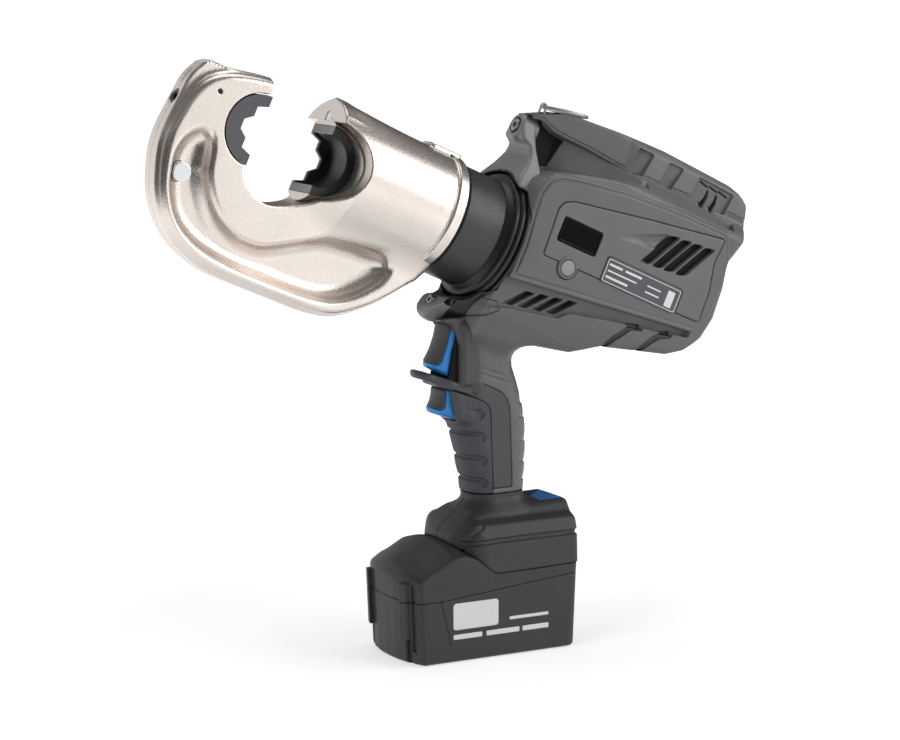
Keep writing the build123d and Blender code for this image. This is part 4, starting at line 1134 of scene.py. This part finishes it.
def grip_shape(x, y, z):
    d = skin_shape(x, y, z)
    for points in HOOKS:
        d = d + 1.3 * ease(1.8, 0.5, path(x, z, points))
    wave = np.mod(z - WAVE_FROM, WAVE_LONG) / WAVE_LONG
    d = d - 0.7 * np.sin(np.pi * wave) * ease(6, -10, x)
    wings = meet(slab(x, -21.2 - (z - 168) * 0.22, -6), np.abs(y) - 16.6, 5.0)
    d = join(d, meet(wings, slab(z, 156, 190), 3.0), 4.0)
    d = hollow(d, 5.2)
    d = meet(d, grip_zone(x, z) + ZONE_GAP, ZONE_EDGE)
    d = meet(d, GRIP_BOTTOM - z, ZONE_EDGE)
    d = less(d, meet(frame_side(x, z) - 0.3, np.abs(y) - CORE_HALF - 0.3, 1.0))
    return cut(d, slot_room(x, y, z, LOWER_SLOT), 0.8)


grip = cast("grip_front", grip_shape, (-27, -20, 104), (10, 20, 183))
fit(grip, "housing", "black_rubber", "grip_sleeve")

# Side panels let into the housing, with display, bare plate and button on the left one
FINE = 0.6
PANEL_BACK = 40.7
DISPLAY = (48.2, 22.0, 15.9, 8.2)
LABEL_PLATE = (106.6, 9.6, 32.4, 8.8)
PLATE_BARS = [
    (-24, 4.2, 5.6, 0.8), (-9, 4.2, 7.0, 0.8), (-17, 0.0, 12.4, 0.6), (-20, -4.2, 9.4, 0.8),
    (10, 1.6, 6.0, 0.6), (10, -2.6, 6.0, 0.6),
]
PLATE_BLOCK = (24.5, -0.6, 3.0, 5.6)


def panel_shape(a, y, v):
    ay = np.abs(y)
    d = meet(panel_edge(a, v), slab(ay, PANEL_BACK, PANEL_Y), 0.7)
    ring = meet(away(a, v, BUTTON) - 7.4, slab(ay, PANEL_BACK, PANEL_Y + 0.7), 0.6)
    return cut(np.minimum(d, ring), vents_shape(a, y, v), 0.5)


def left_panel_shape(a, y, v):
    d = cut(panel_shape(a, y, v), away(a, v, BUTTON) - BUTTON_R - 0.35, 0.3)
    d = cut(d, np.maximum(field(a, v, DISPLAY, 2.0, 0.3), y + 41.7), 0.3)
    return cut(d, np.maximum(field(a, v, LABEL_PLATE, 2.4, 0.4), y + 42.1), 0.2)


def display_shape(a, y, v):
    face = field(a, v, DISPLAY, 1.8)
    d = meet(face, slab(y, -42.75, -41.75), 0.3)
    return cut(d, meet(face + 1.3, y + 42.5, 0.1), 0.1)


def plate_shape(a, y, v):
    return meet(field(a, v, LABEL_PLATE, 2.0), slab(y, -42.9, -42.15), 0.25)


def plate_marks_shape(a, y, v):
    """Frame, plain bars and a block on the plate."""
    d = np.abs(field(a, v, LABEL_PLATE, 1.4, -1.3)) - 0.32
    da, dv = a - LABEL_PLATE[0], v - LABEL_PLATE[1]
    for bar in PLATE_BARS:
        d = np.minimum(d, field(da, dv, bar, 0.3))
    d = np.minimum(d, field(da, dv, PLATE_BLOCK, 0.6))
    return np.maximum(d, slab(y, -43.05, -42.7))


def button_shape(a, y, v):
    off = away(a, v, BUTTON)
    dome = np.sqrt(off ** 2 + (y + 24.0) ** 2) - 20.4
    d = meet(meet(off - BUTTON_R, -44.2 - y, 0.8), y + 39.5, 0.3)
    d = meet(d, dome, 0.4)
    return cut(d, np.hypot(off - 3.9, y + 44.1) - 0.28, 0.1)


left_panel = cast("side_panel_left", left_panel_shape, (24, -44, -9), (163, -40, 65), FINE, from_axis)
fit(left_panel, "housing", "panel_grey", "panel_left")
right_panel = cast("side_panel_right", panel_shape, (24, 40, -9), (163, 44, 65), FINE, from_axis)
fit(right_panel, "housing", "panel_grey", "panel_right")
screen = cast("display_window", display_shape, (31, -43.4, 12), (66, -41, 32), 0.45, from_axis)
fit(screen, "housing", "display_glass", "display")
plate = cast("bare_plate", plate_shape, (73, -43.6, -0.5), (140, -41.6, 20), 0.5, from_axis)
fit(plate, "housing", "plate_grey", "rating_plate")
marks = cast("plate_marks", plate_marks_shape, (73, -43.3, -0.5), (140, -42.5, 20), 0.3, from_axis)
fit(marks, "housing", "label_white")
button = cast("round_button", button_shape, (41, -46, -7), (55, -39, 7), 0.4, from_axis)
fit(button, "button", "panel_grey", "panel_button", look="button_grey")

# Near-black sheets behind the louvres and in the scoop beside the rail, painted shade for those recesses,
# and dark strips at the floor of the chevron grooves
VENT_FIELD = (125.5, 40.0, 25.5, 14.0)


# Near-black sheet behind the louvres: painted shade, which also hides the board
def vent_shade_sheet_shape(a, y, v):
    return meet(field(a, v, VENT_FIELD, 2.0), slab(np.abs(y), 37.7, 38.6), 0.2)


# Dark strips at the floor of the chevron grooves
def chevron_strip_shape(a, y, v):
    strip = paths(a, v, CHEVRONS) - CHEVRON_HALF - 0.3
    return meet(strip, np.abs(body_shape(a, y, v, grooved=False) + 2.1) - 0.7, 0.1)


# Near-black sheet in the valley behind the top lug and under the rail: painted shade
def neck_shade_sheet_shape(a, y, v):
    low = scoop_low(a) + 1.2 - np.maximum(0, 26 - a) * 0.3
    block = meet(slab(a, 9.6, 27.0 - (66 - v) * 0.2), np.abs(y) - scoop_half(a) - 0.5, 0.3)
    return meet(block, slab(v, low, rail_low(a) - 0.3), 1.0)


vent_shade_sheets = cast_sides("vent_shade_sheet_%s", vent_shade_sheet_shape, (99, 37, 25), (152, 39.5, 55), FINE, from_axis)
# The sheets behind the louvres carry painted shade
for _, shade_sheet in vent_shade_sheets:
    fit(shade_sheet, "housing", "black_plastic", look="painted_shade_black")
groove_strips = cast_sides(
    "groove_strip_%s", chevron_strip_shape, (95, 14, -42), (149, 45, -6), 0.7, from_axis,
)
for _, strips in groove_strips:
    fit(strips, "housing", "black_plastic")
neck = cast("neck_shade_sheet", neck_shade_sheet_shape, (8, -13, 40), (34, 13, 88), 0.7, from_axis)
# The sheet in the valley carries painted shade
fit(neck, "housing", "black_plastic", look="painted_shade_black")

# Triggers, in the level frame: side view, and the seam between the lever and its pad
TRIGGER_HALF = 10.8
TRIGGER_CROWN = 0.022
UPPER_SIDE = [
    (-24.0, 222.2), (-26.2, 211.8), (-29.4, 203.4), (-33.8, 196.0), (-34.0, 192.6), (-25, 187.2),
    (-14, 187.2), (-14, 221.5),
]
UPPER_SEAM = [
    (-45, 199), (-30.4, 194.8), (-28.0, 196.8), (-24.0, 207.6), (-21.2, 216.7), (-19.8, 226), (-45, 226),
]
LOWER_SIDE = [
    (-27.8, 178.5), (-28.0, 173.4), (-29.2, 168.4), (-31.8, 164.4), (-31.4, 161.8), (-20, 157.6),
    (-14, 157.6), (-14, 171.4), (-22, 177.8),
]
LOWER_SEAM = [
    (-45, 168.6), (-36, 166.8), (-28, 164.6), (-25.4, 165.8), (-24.8, 170), (-24.2, 182), (-45, 182),
]
STEM_X = -13.5
STEM_HALF = (2.5, 4.0, 3.0)


def add_trigger(name, side_points, seam_points, stem_z):
    side = sharp_outline(side_points, [2, 8, 8, 1.5, 1.5, 2] + [1] * (len(side_points) - 6))
    seam = sharp_outline(seam_points, 2.5)
    lo = (-39, -12, side_points[5][1] - 3)
    hi = (-6, 12, side_points[0][1] + 3)

    def whole(x, y, z):
        return meet(side(x - TRIGGER_CROWN * y * y, z), np.abs(y) - TRIGGER_HALF, 2.6)

    def pad_shape(x, y, z):
        return meet(whole(x, y, z) - 0.15, seam(x, z) + 0.1, 0.5)

    def lever_shape(x, y, z):
        d = meet(whole(x, y, z), 0.1 - seam(x, z), 0.5)
        return np.minimum(d, brick(x, y, z, (STEM_X, 0, stem_z), STEM_HALF, 0.5))

    pad = cast(name + "_finger_pad", pad_shape, lo, hi, 0.5)
    fit(pad, name, "black_plastic", name + "_pad", look="pad_rubber")
    fit(cast(name + "_lever", lever_shape, lo, hi, 0.5), name, "blue_plastic", name + "_core")


add_trigger("upper_trigger", UPPER_SIDE, UPPER_SEAM, 206.0)
add_trigger("lower_trigger", LOWER_SIDE, LOWER_SEAM, 169.0)

# Foot that carries the battery, in the level frame
FOOT_SIDE = [
    (-27.8, 66), (-27.8, 75), (-26.6, 80.4), (-22.4, 86.4), (-15.4, 92), (-8.8, 95.8), (0, 97), (36, 98.4),
    (61.6, 99.6), (64.4, 97), (64.4, 86), (64, 78), (63, 50), (-10, 50),
]
FOOT_CROSS = [
    (8, 101), (14, 100.6), (18.4, 98.6), (24, 91.2), (30.5, 88.4), (34.4, 80), (36.8, 57), (36.8, 40),
]
FOOT_PLAN = [(-29, 8), (-27, 18), (-20, 28), (-10, 37), (0, 44), (70, 44), (76, 38)]
FOOT_BAND = [(-30, 79.2), (-25.9, 78.8), (-19.5, 76.6), (-12, 77.4), (0, 78), (22, 78.2), (66, 78.2)]
FOOT_BAND_FRONT = [(-19.5, 76.6), (-17.5, 80.5), (-12.5, 85), (-8, 87.4)]
FOOT_TOP = 105.8
RAIL_HALF = 26.9
RAIL_NECK = 22.9
RAIL_Z = 67.25
RAIL_GAP = 0.35
CHANNEL_X = (-80, 52)
CONTACT_ROOM = ((53, 0, 66), (3.05, 19.05, 5.05))
FOOT_ROOM = ((13, 0, 82.5), (23, 15, 6.0))
LATCH_SIDE = [(52.6, 93.4), (53.6, 94.8), (61.6, 98.4), (62.6, 97.6), (62.6, 84), (52.6, 84)]
LATCH_HALF = 15.2
LATCH_GAP = 0.35
LATCH_ROOM = ((57.6, 0, 88.2), (5.35, LATCH_HALF + LATCH_GAP, 9.6))
RELIEF_SIDE = [
    (42.5, 101.5), (45, 97.2), (52.3, 93.4), (53.6, 94.4), (61.6, 98), (62.9, 98.2),
    (62.9, 108), (42.5, 108),
]
foot_side = Outline(rounded(FOOT_SIDE, [1, 2, 6, 8, 8, 6, 4, 4, 3, 3, 6, 6, 1, 1]))
foot_cross = Outline(rounded(mirror(FOOT_CROSS, -1, 1), 4.0))
foot_plan = Outline(rounded(mirror(FOOT_PLAN, 1, -1), 8.0))
latch_side = sharp_outline(LATCH_SIDE, [0.6, 0.8, 0.8, 0.6, 1.0, 1.0])
relief_side = sharp_outline(RELIEF_SIDE, [1, 2, 1, 1, 0.5, 0.3, 1, 1])
drop = graded((-60, 9), (-45, 8.5), (-25, 5), (-8, 0))
seam_height = graded(
    (-60, 77.4), (-34, 77.2), (-25, 76.4), (-15, 69.6), (-9, 62.4), (-2.9, 57.6), (2, 56.4), (70, 57.6),
)


def nose_drop(x, y):
    """The nose and the lobe over it are crowned: their sides lie lower than their middle."""
    return drop(x) * (y / 36.0) ** 2


def seam_rise(x, y, z):
    """Height over the joint between the foot and the pack."""
    return (z + nose_drop(x, y) - seam_height(x)) * 0.85


def foot_shape(x, y, z):
    ay = np.abs(y)
    handle = handle_shape(x, y, z)
    d = meet(meet(foot_side(x, z + nose_drop(x, y)), foot_cross(y, z), 4.0), foot_plan(x, y), 4.0)
    d = join(d, np.maximum(handle, 84 - z), 9.0)
    d = meet(d, ZONE_GAP - seam_rise(x, y, z), 0.4)
    d = d + 1.5 * ease(2.2, 0.9, path(x, z, FOOT_BAND)) * ease(24, 29, ay)
    d = d + 0.8 * ease(1.8, 0.5, path(x, z, FOOT_BAND_FRONT)) * ease(20, 25, ay)
    d = less(d, brick(x, y, z, *FOOT_ROOM, 1.0), np.maximum(handle + 5.5, 80 - z))
    middle, half = sum(CHANNEL_X) / 2, (CHANNEL_X[1] - CHANNEL_X[0]) / 2
    d = less(d, brick(x, y, z, (middle, 0, RAIL_Z), (half, RAIL_HALF + RAIL_GAP, 5.8), 0.2))
    d = less(d, brick(x, y, z, (middle, 0, 51), (half, RAIL_NECK + RAIL_GAP, 11), 0.2))
    d = less(d, brick(x, y, z, *CONTACT_ROOM, 0.1))
    d = cut(d, np.maximum(relief_side(x, z), ay - LATCH_HALF - LATCH_GAP), 0.4)
    d = less(d, brick(x, y, z, *LATCH_ROOM, 0.1))
    return meet(meet(d, z - FOOT_TOP, 0.6), SPLIT_GAP - ay, 0.5)


def latch_shape(x, y, z):
    """Key with eight grooves across its sloping roof."""
    roof = latch_side(x, z)
    d = meet(roof, np.abs(y) - LATCH_HALF, 0.8)
    for k in range(4):
        groove = np.hypot(np.abs(y) - 1.8 - 3.6 * k, roof * 0.9) - 0.6
        d = cut(d, np.maximum(groove, slab(x, 54.6, 60.4)), 0.2)
    return d


for mark, half_foot in cast_sides("foot_%s_shell", foot_shape, (-30, 0, 55), (67, 38, 108)):
    fit(half_foot, "housing", "black_plastic", "foot_" + mark, look="case_plastic")
latch = cast("latch_key", latch_shape, (51, -17, 82), (64, 17, 100), 0.5)
fit(latch, "latch", "blue_plastic", "battery_latch")

# Battery pack, with a blank label and plain bars on its left side
PACK_SIDE = [
    (-66.5, -4), (-66.5, 56), (-60.5, 65), (-50, 71), (-38, 75.2), (-27, 79), (-20, 84),
    (62.6, 84), (62.6, -4),
]
PACK_PLAN = [(-65.8, 12), (-63.8, 22), (-61, 30), (-57.4, 37.5), (62.6, 37.5)]
PACK_NOSE = (-66.5, 0)
PACK_TAPER = 0.0007
CASE_GAP = 0.08
PACK_SEAM = ((-43.0, 42.2), (61.0, 51.0))
RIB_BACK = -45
RIB = (25.0, 36.0, 3.4, 19.0)
RIB_FOOT = (25.6, 8.6, 2.3, 8.0)
RIB_GROOVE = (30.2, 31.5, 1.4, 22.5)
PANEL_LINE = [(-43.4, 44.0), (-36.0, 12.5)]
PACK_RAIL_X = (16, 34)
TERMINAL_ROOM = ((38.5, 0, 66), (12.6, 19.05, 6.05))
LABEL = (-17.0, 31.0, 17.0, 9.0)
CASE_BARS = [
    (-23, 17.2, 10.8, 1.7), (3.6, 17.2, 12.6, 1.7), (28.6, 17.2, 10.2, 1.7), (23.6, 25.4, 15.0, 1.1),
]
pack_side = Outline(rounded(PACK_SIDE, [1, 4, 8, 12, 12, 2, 1, 1, 1]))
pack_plan = Outline(rounded([PACK_NOSE] + mirror(PACK_PLAN, 1, -1), [4, 10, 8, 6, 3, 7, 7, 3, 6, 8, 10]))


def pack_whole(x, y, z):
    ay = np.abs(y)
    wide = x * (1 + PACK_TAPER * (50 - z))
    plan = pack_plan(wide, y)
    d = meet(meet(pack_side(wide, z + nose_drop(x, y)), plan, 1.8), -z, 3.0)
    d = meet(d, ZONE_GAP + seam_rise(x, y, z), 0.4)
    nose = x - RIB_BACK
    bar = meet(meet(field(ay, z, RIB, 1.0), nose, 0.5), plan - 3.4, 0.7)
    d = join(d, bar, 0.3)
    d = cut(d, meet(field(ay, z, RIB_FOOT, 0.8), np.maximum(nose, -plan - 3.0), 0.3), 0.4)
    d = cut(d, meet(field(ay, z, RIB_GROOVE, 0.6), np.maximum(nose, -plan - 2.2), 0.3), 0.5)
    d = d + 0.7 * ease(0.9, 0.2, path(x, z, PANEL_LINE)) * ease(30, 34, ay)
    middle, half = PACK_RAIL_X
    d = np.minimum(d, brick(x, y, z, (middle, 0, RAIL_Z), (half, RAIL_HALF, 5.45), 0.8))
    d = np.minimum(d, brick(x, y, z, (middle, 0, 59), (half, RAIL_NECK, 4), 0.3))
    return less(d, brick(x, y, z, *TERMINAL_ROOM, 0.1))


def pack_seam(x, z):
    """Height over the seam of the case, which is level at the nose and then rises to the rear."""
    return z - straight(np.maximum(x, PACK_SEAM[0][0]), PACK_SEAM)


def upper_case_shape(x, y, z):
    return meet(pack_whole(x, y, z), CASE_GAP - pack_seam(x, z), 0.4)


def lower_case_shape(x, y, z):
    return meet(pack_whole(x, y, z), CASE_GAP + pack_seam(x, z), 0.4)


def label_shape(x, y, z):
    return meet(field(x, z, LABEL, 2.2), slab(y, -37.85, -37.3), 0.15)


def case_bars_shape(x, y, z):
    d = np.full(x.shape, FAR)
    for bar in CASE_BARS:
        d = np.minimum(d, field(x, z, bar, 0.5))
    return meet(d, slab(y, -37.72, -37.3), 0.1)


upper_case = cast("battery_upper", upper_case_shape, (-70, -39, 36), (64, 39, 81))
fit(upper_case, "battery", "black_plastic", "pack_upper", look="case_plastic")
lower_case = cast("battery_lower", lower_case_shape, (-70, -39, -1), (64, 39, 56))
fit(lower_case, "battery", "black_plastic", "pack_lower", look="case_plastic")
label = cast("bare_label", label_shape, (-36, -38.4, 20), (2, -36.8, 42), 0.45)
fit(label, "battery", "label_white", "pack_label")
bars = cast("case_bars", case_bars_shape, (-36, -38.2, 14), (41, -36.9, 28), 0.4)
fit(bars, "battery", "label_white")

# Split ring on the rail, and the eye that it hangs in
RING_AT = (10.6, 96.4)
RING_R = 16.2
RING_SLOPE = math.radians(9.5)
RING_WIRE = 0.65
EYE_R = 2.0
EYE_WIRE = 0.8


def split_ring(turns=2, steps=96, sides=12):
    """Turns of round wire, one on the other, that start and end at the eye."""
    count = turns * steps
    points = []
    faces = []
    for i in range(count + 1):
        t = 2 * math.pi * i / steps
        rise = RING_WIRE * (2 * i / count - 1) * 1.02
        middle = np.array((RING_R * (1 - math.cos(t)), -RING_R * math.sin(t), rise))
        out = np.array((-math.cos(t), -math.sin(t), 0.0))
        for k in range(sides):
            s = 2 * math.pi * k / sides
            points.append(middle + RING_WIRE * (math.cos(s) * out + math.sin(s) * np.array((0, 0, 1))))
            m = (k + 1) % sides
            if i < count:
                faces.append((i * sides + k, i * sides + m, (i + 1) * sides + m, (i + 1) * sides + k))
    faces += [tuple(range(sides))[::-1], tuple(count * sides + k for k in range(sides))]
    points = np.asarray(points)
    c, s = math.cos(RING_SLOPE), math.sin(RING_SLOPE)
    a = RING_AT[0] + points[:, 0] * c - points[:, 2] * s
    v = RING_AT[1] + points[:, 0] * s + points[:, 2] * c
    return make_object("split_ring", from_axis(np.stack((a, points[:, 1], v), 1)), faces)


def eye_shape(a, y, v):
    da, dv = a - RING_AT[0], v - RING_AT[1]
    loop = np.hypot(np.hypot(da, dv) - EYE_R, y) - EYE_WIRE
    legs = np.maximum(np.hypot(np.abs(da) - EYE_R, y) - EYE_WIRE, slab(dv, -5, 0))
    return np.minimum(np.maximum(loop, -dv), legs)


fit(split_ring(), "ring", "bright_steel", "hang_ring", look="ring_steel")
eye = cast("ring_eye", eye_shape, (6, -2, 91), (15, 2, 103), 0.3, from_axis)
fit(eye, "housing", "bright_steel", "ring_lug", look="ring_steel")

# Stage, lamps and camera, in metres
CAMERA_TURN = math.radians(-28.373)
CAMERA_RISE = math.radians(9.246)
CAMERA_FAR = 1.8
CAMERA_AIM = Vector((-0.01627, 0.0, 0.18940))
CAMERA_LENS = 108.372
FLOOR_HALF = 30.0
FLOOR_DOWN = 0.0004
FLOOR_NEAR = 0.25
FLOOR_FAR = 0.75
FLOOR_GLOW = 0.54
SKY_TOP = 0.15
SKY_LOW = 0.28
SKY_HIGH = 0.55
SKY_LIGHT = 0.6
CARD_FAR = 1.1
# Each card: name, first and last angle in degrees, height
CARDS = [("front_card", -118.0, -8.0, 0.75), ("back_card", 84.0, 166.0, 1.0)]
# Each lamp: name, place, aim, size, power, whether metal mirrors it
LAMPS = [
    ("key", (1.3, -1.0, 1.0), (-0.05, 0, 0.22), (1.6, 1.2), 19.0, True),
    ("fill", (-1.4, -0.5, 0.8), (-0.05, 0, 0.2), (0.8, 0.8), 10.0, False),
    ("top", (0.2, 0.3, 1.5), (0.0, 0, 0.2), (1.2, 0.8), 6.0, True),
]


def towards(turn, rise):
    return Vector((math.sin(turn) * math.cos(rise), -math.cos(turn) * math.cos(rise), math.sin(rise)))


def link(name, data):
    obj = bpy.data.objects.new(name, data)
    bpy.context.scene.collection.objects.link(obj)
    return obj


def seen_by(tree):
    """One for rays that carry the background to the eye: straight, mirrored or through glass."""
    rays = tree.nodes.new("ShaderNodeLightPath").outputs
    mirrored = greater(tree, rays["Is Camera Ray"], rays["Is Glossy Ray"])
    return greater(tree, mirrored, rays["Is Transmission Ray"])


def stage_material(name, scale, low, high):
    """Dull paper or cloth whose grey drifts between two values."""
    material, tree, shader = new_material(name)
    shader.inputs["Roughness"].default_value = 0.9
    tree.links.new(ramp(tree, noise(tree, scale), grey(low), grey(high)), shader.inputs["Base Color"])
    return material, tree, shader


def floor_material():
    """Pale floor that is white to the eye away from the tool, and keeps its shadow near it."""
    material, tree, shader = stage_material("backdrop", 2.0, 0.66, 0.70)
    shader.inputs["Specular IOR Level"].default_value = 0.0
    shader.inputs["Emission Color"].default_value = grey(1.0)
    place = tree.nodes.new("ShaderNodeNewGeometry")
    far = tree.nodes.new("ShaderNodeVectorMath")
    far.operation = "LENGTH"
    tree.links.new(place.outputs["Position"], far.inputs[0])
    ends = dict(From_Min=FLOOR_NEAR, From_Max=FLOOR_FAR, To_Min=FLOOR_GLOW, To_Max=1.0)
    glow = map_range(tree, far.outputs["Value"], **ends)
    power = tree.nodes.new("ShaderNodeMath")
    power.operation = "MULTIPLY"
    tree.links.new(glow, power.inputs[0])
    tree.links.new(seen_by(tree), power.inputs[1])
    tree.links.new(power.outputs[0], shader.inputs["Emission Strength"])
    return material


def add_floor():
    mesh = bpy.data.meshes.new("floor")
    corners = [(FLOOR_HALF * x, FLOOR_HALF * y, 0) for x, y in ((-1, -1), (1, -1), (1, 1), (-1, 1))]
    mesh.from_pydata(corners, [], [(0, 1, 2, 3)])
    mesh.materials.append(floor_material())
    floor = link("floor", mesh)
    floor.location.z = -FLOOR_DOWN
    return floor


def add_card(name, turn_from, turn_to, tall, steps=24):
    """Dark card round the tool, seen only in the bright metal."""
    points = []
    for i in range(steps + 1):
        foot = CARD_FAR * towards(math.radians(turn_from + (turn_to - turn_from) * i / steps), 0.0)
        points += [(foot.x, foot.y, 0.0), (foot.x, foot.y, tall)]
    mesh = bpy.data.meshes.new(name)
    mesh.from_pydata(points, [], [(2 * i, 2 * i + 2, 2 * i + 3, 2 * i + 1) for i in range(steps)])
    mesh.materials.append(stage_material(name, 6.0, 0.03, 0.05)[0])
    card = link(name, mesh)
    card.visible_camera = False
    card.visible_diffuse = False
    card.visible_shadow = False
    return card


def add_lamp(name, spot, aim, size, power, mirrored):
    data = bpy.data.lights.new(name, "AREA")
    data.shape = "RECTANGLE"
    data.size, data.size_y = size
    data.energy = power
    lamp = link(name, data)
    lamp.location = spot
    lamp.visible_glossy = mirrored
    lamp.rotation_euler = (Vector(aim) - Vector(spot)).to_track_quat("-Z", "Y").to_euler()


def add_world():
    """White at eye level and darker overhead, weaker for plain light than for what mirrors show."""
    world = bpy.data.worlds.new("studio")
    bpy.context.scene.world = world
    world.use_nodes = True
    tree = world.node_tree
    shade = tree.nodes["Background"]
    spot = tree.nodes.new("ShaderNodeTexCoord")
    parts = tree.nodes.new("ShaderNodeSeparateXYZ")
    tree.links.new(spot.outputs["Generated"], parts.inputs["Vector"])
    sky = ramp(tree, parts.outputs["Z"], grey(1.0), grey(SKY_TOP), SKY_LOW, SKY_HIGH)
    tree.links.new(sky, shade.inputs["Color"])
    tree.links.new(map_range(tree, seen_by(tree), To_Min=SKY_LIGHT, To_Max=1.0), shade.inputs["Strength"])


def add_camera():
    data = bpy.data.cameras.new("camera")
    data.lens = CAMERA_LENS
    data.sensor_width = 36.0
    data.sensor_fit = "HORIZONTAL"
    camera = link("camera", data)
    back = towards(CAMERA_TURN, CAMERA_RISE)
    camera.location = CAMERA_AIM + CAMERA_FAR * back
    camera.rotation_euler = (-back).to_track_quat("-Z", "Y").to_euler()
    bpy.context.scene.camera = camera


add_floor()
for card in CARDS:
    add_card(*card)
add_world()
for lamp in LAMPS:
    add_lamp(*lamp)
add_camera()
bpy.context.scene.view_settings.view_transform = "Standard"
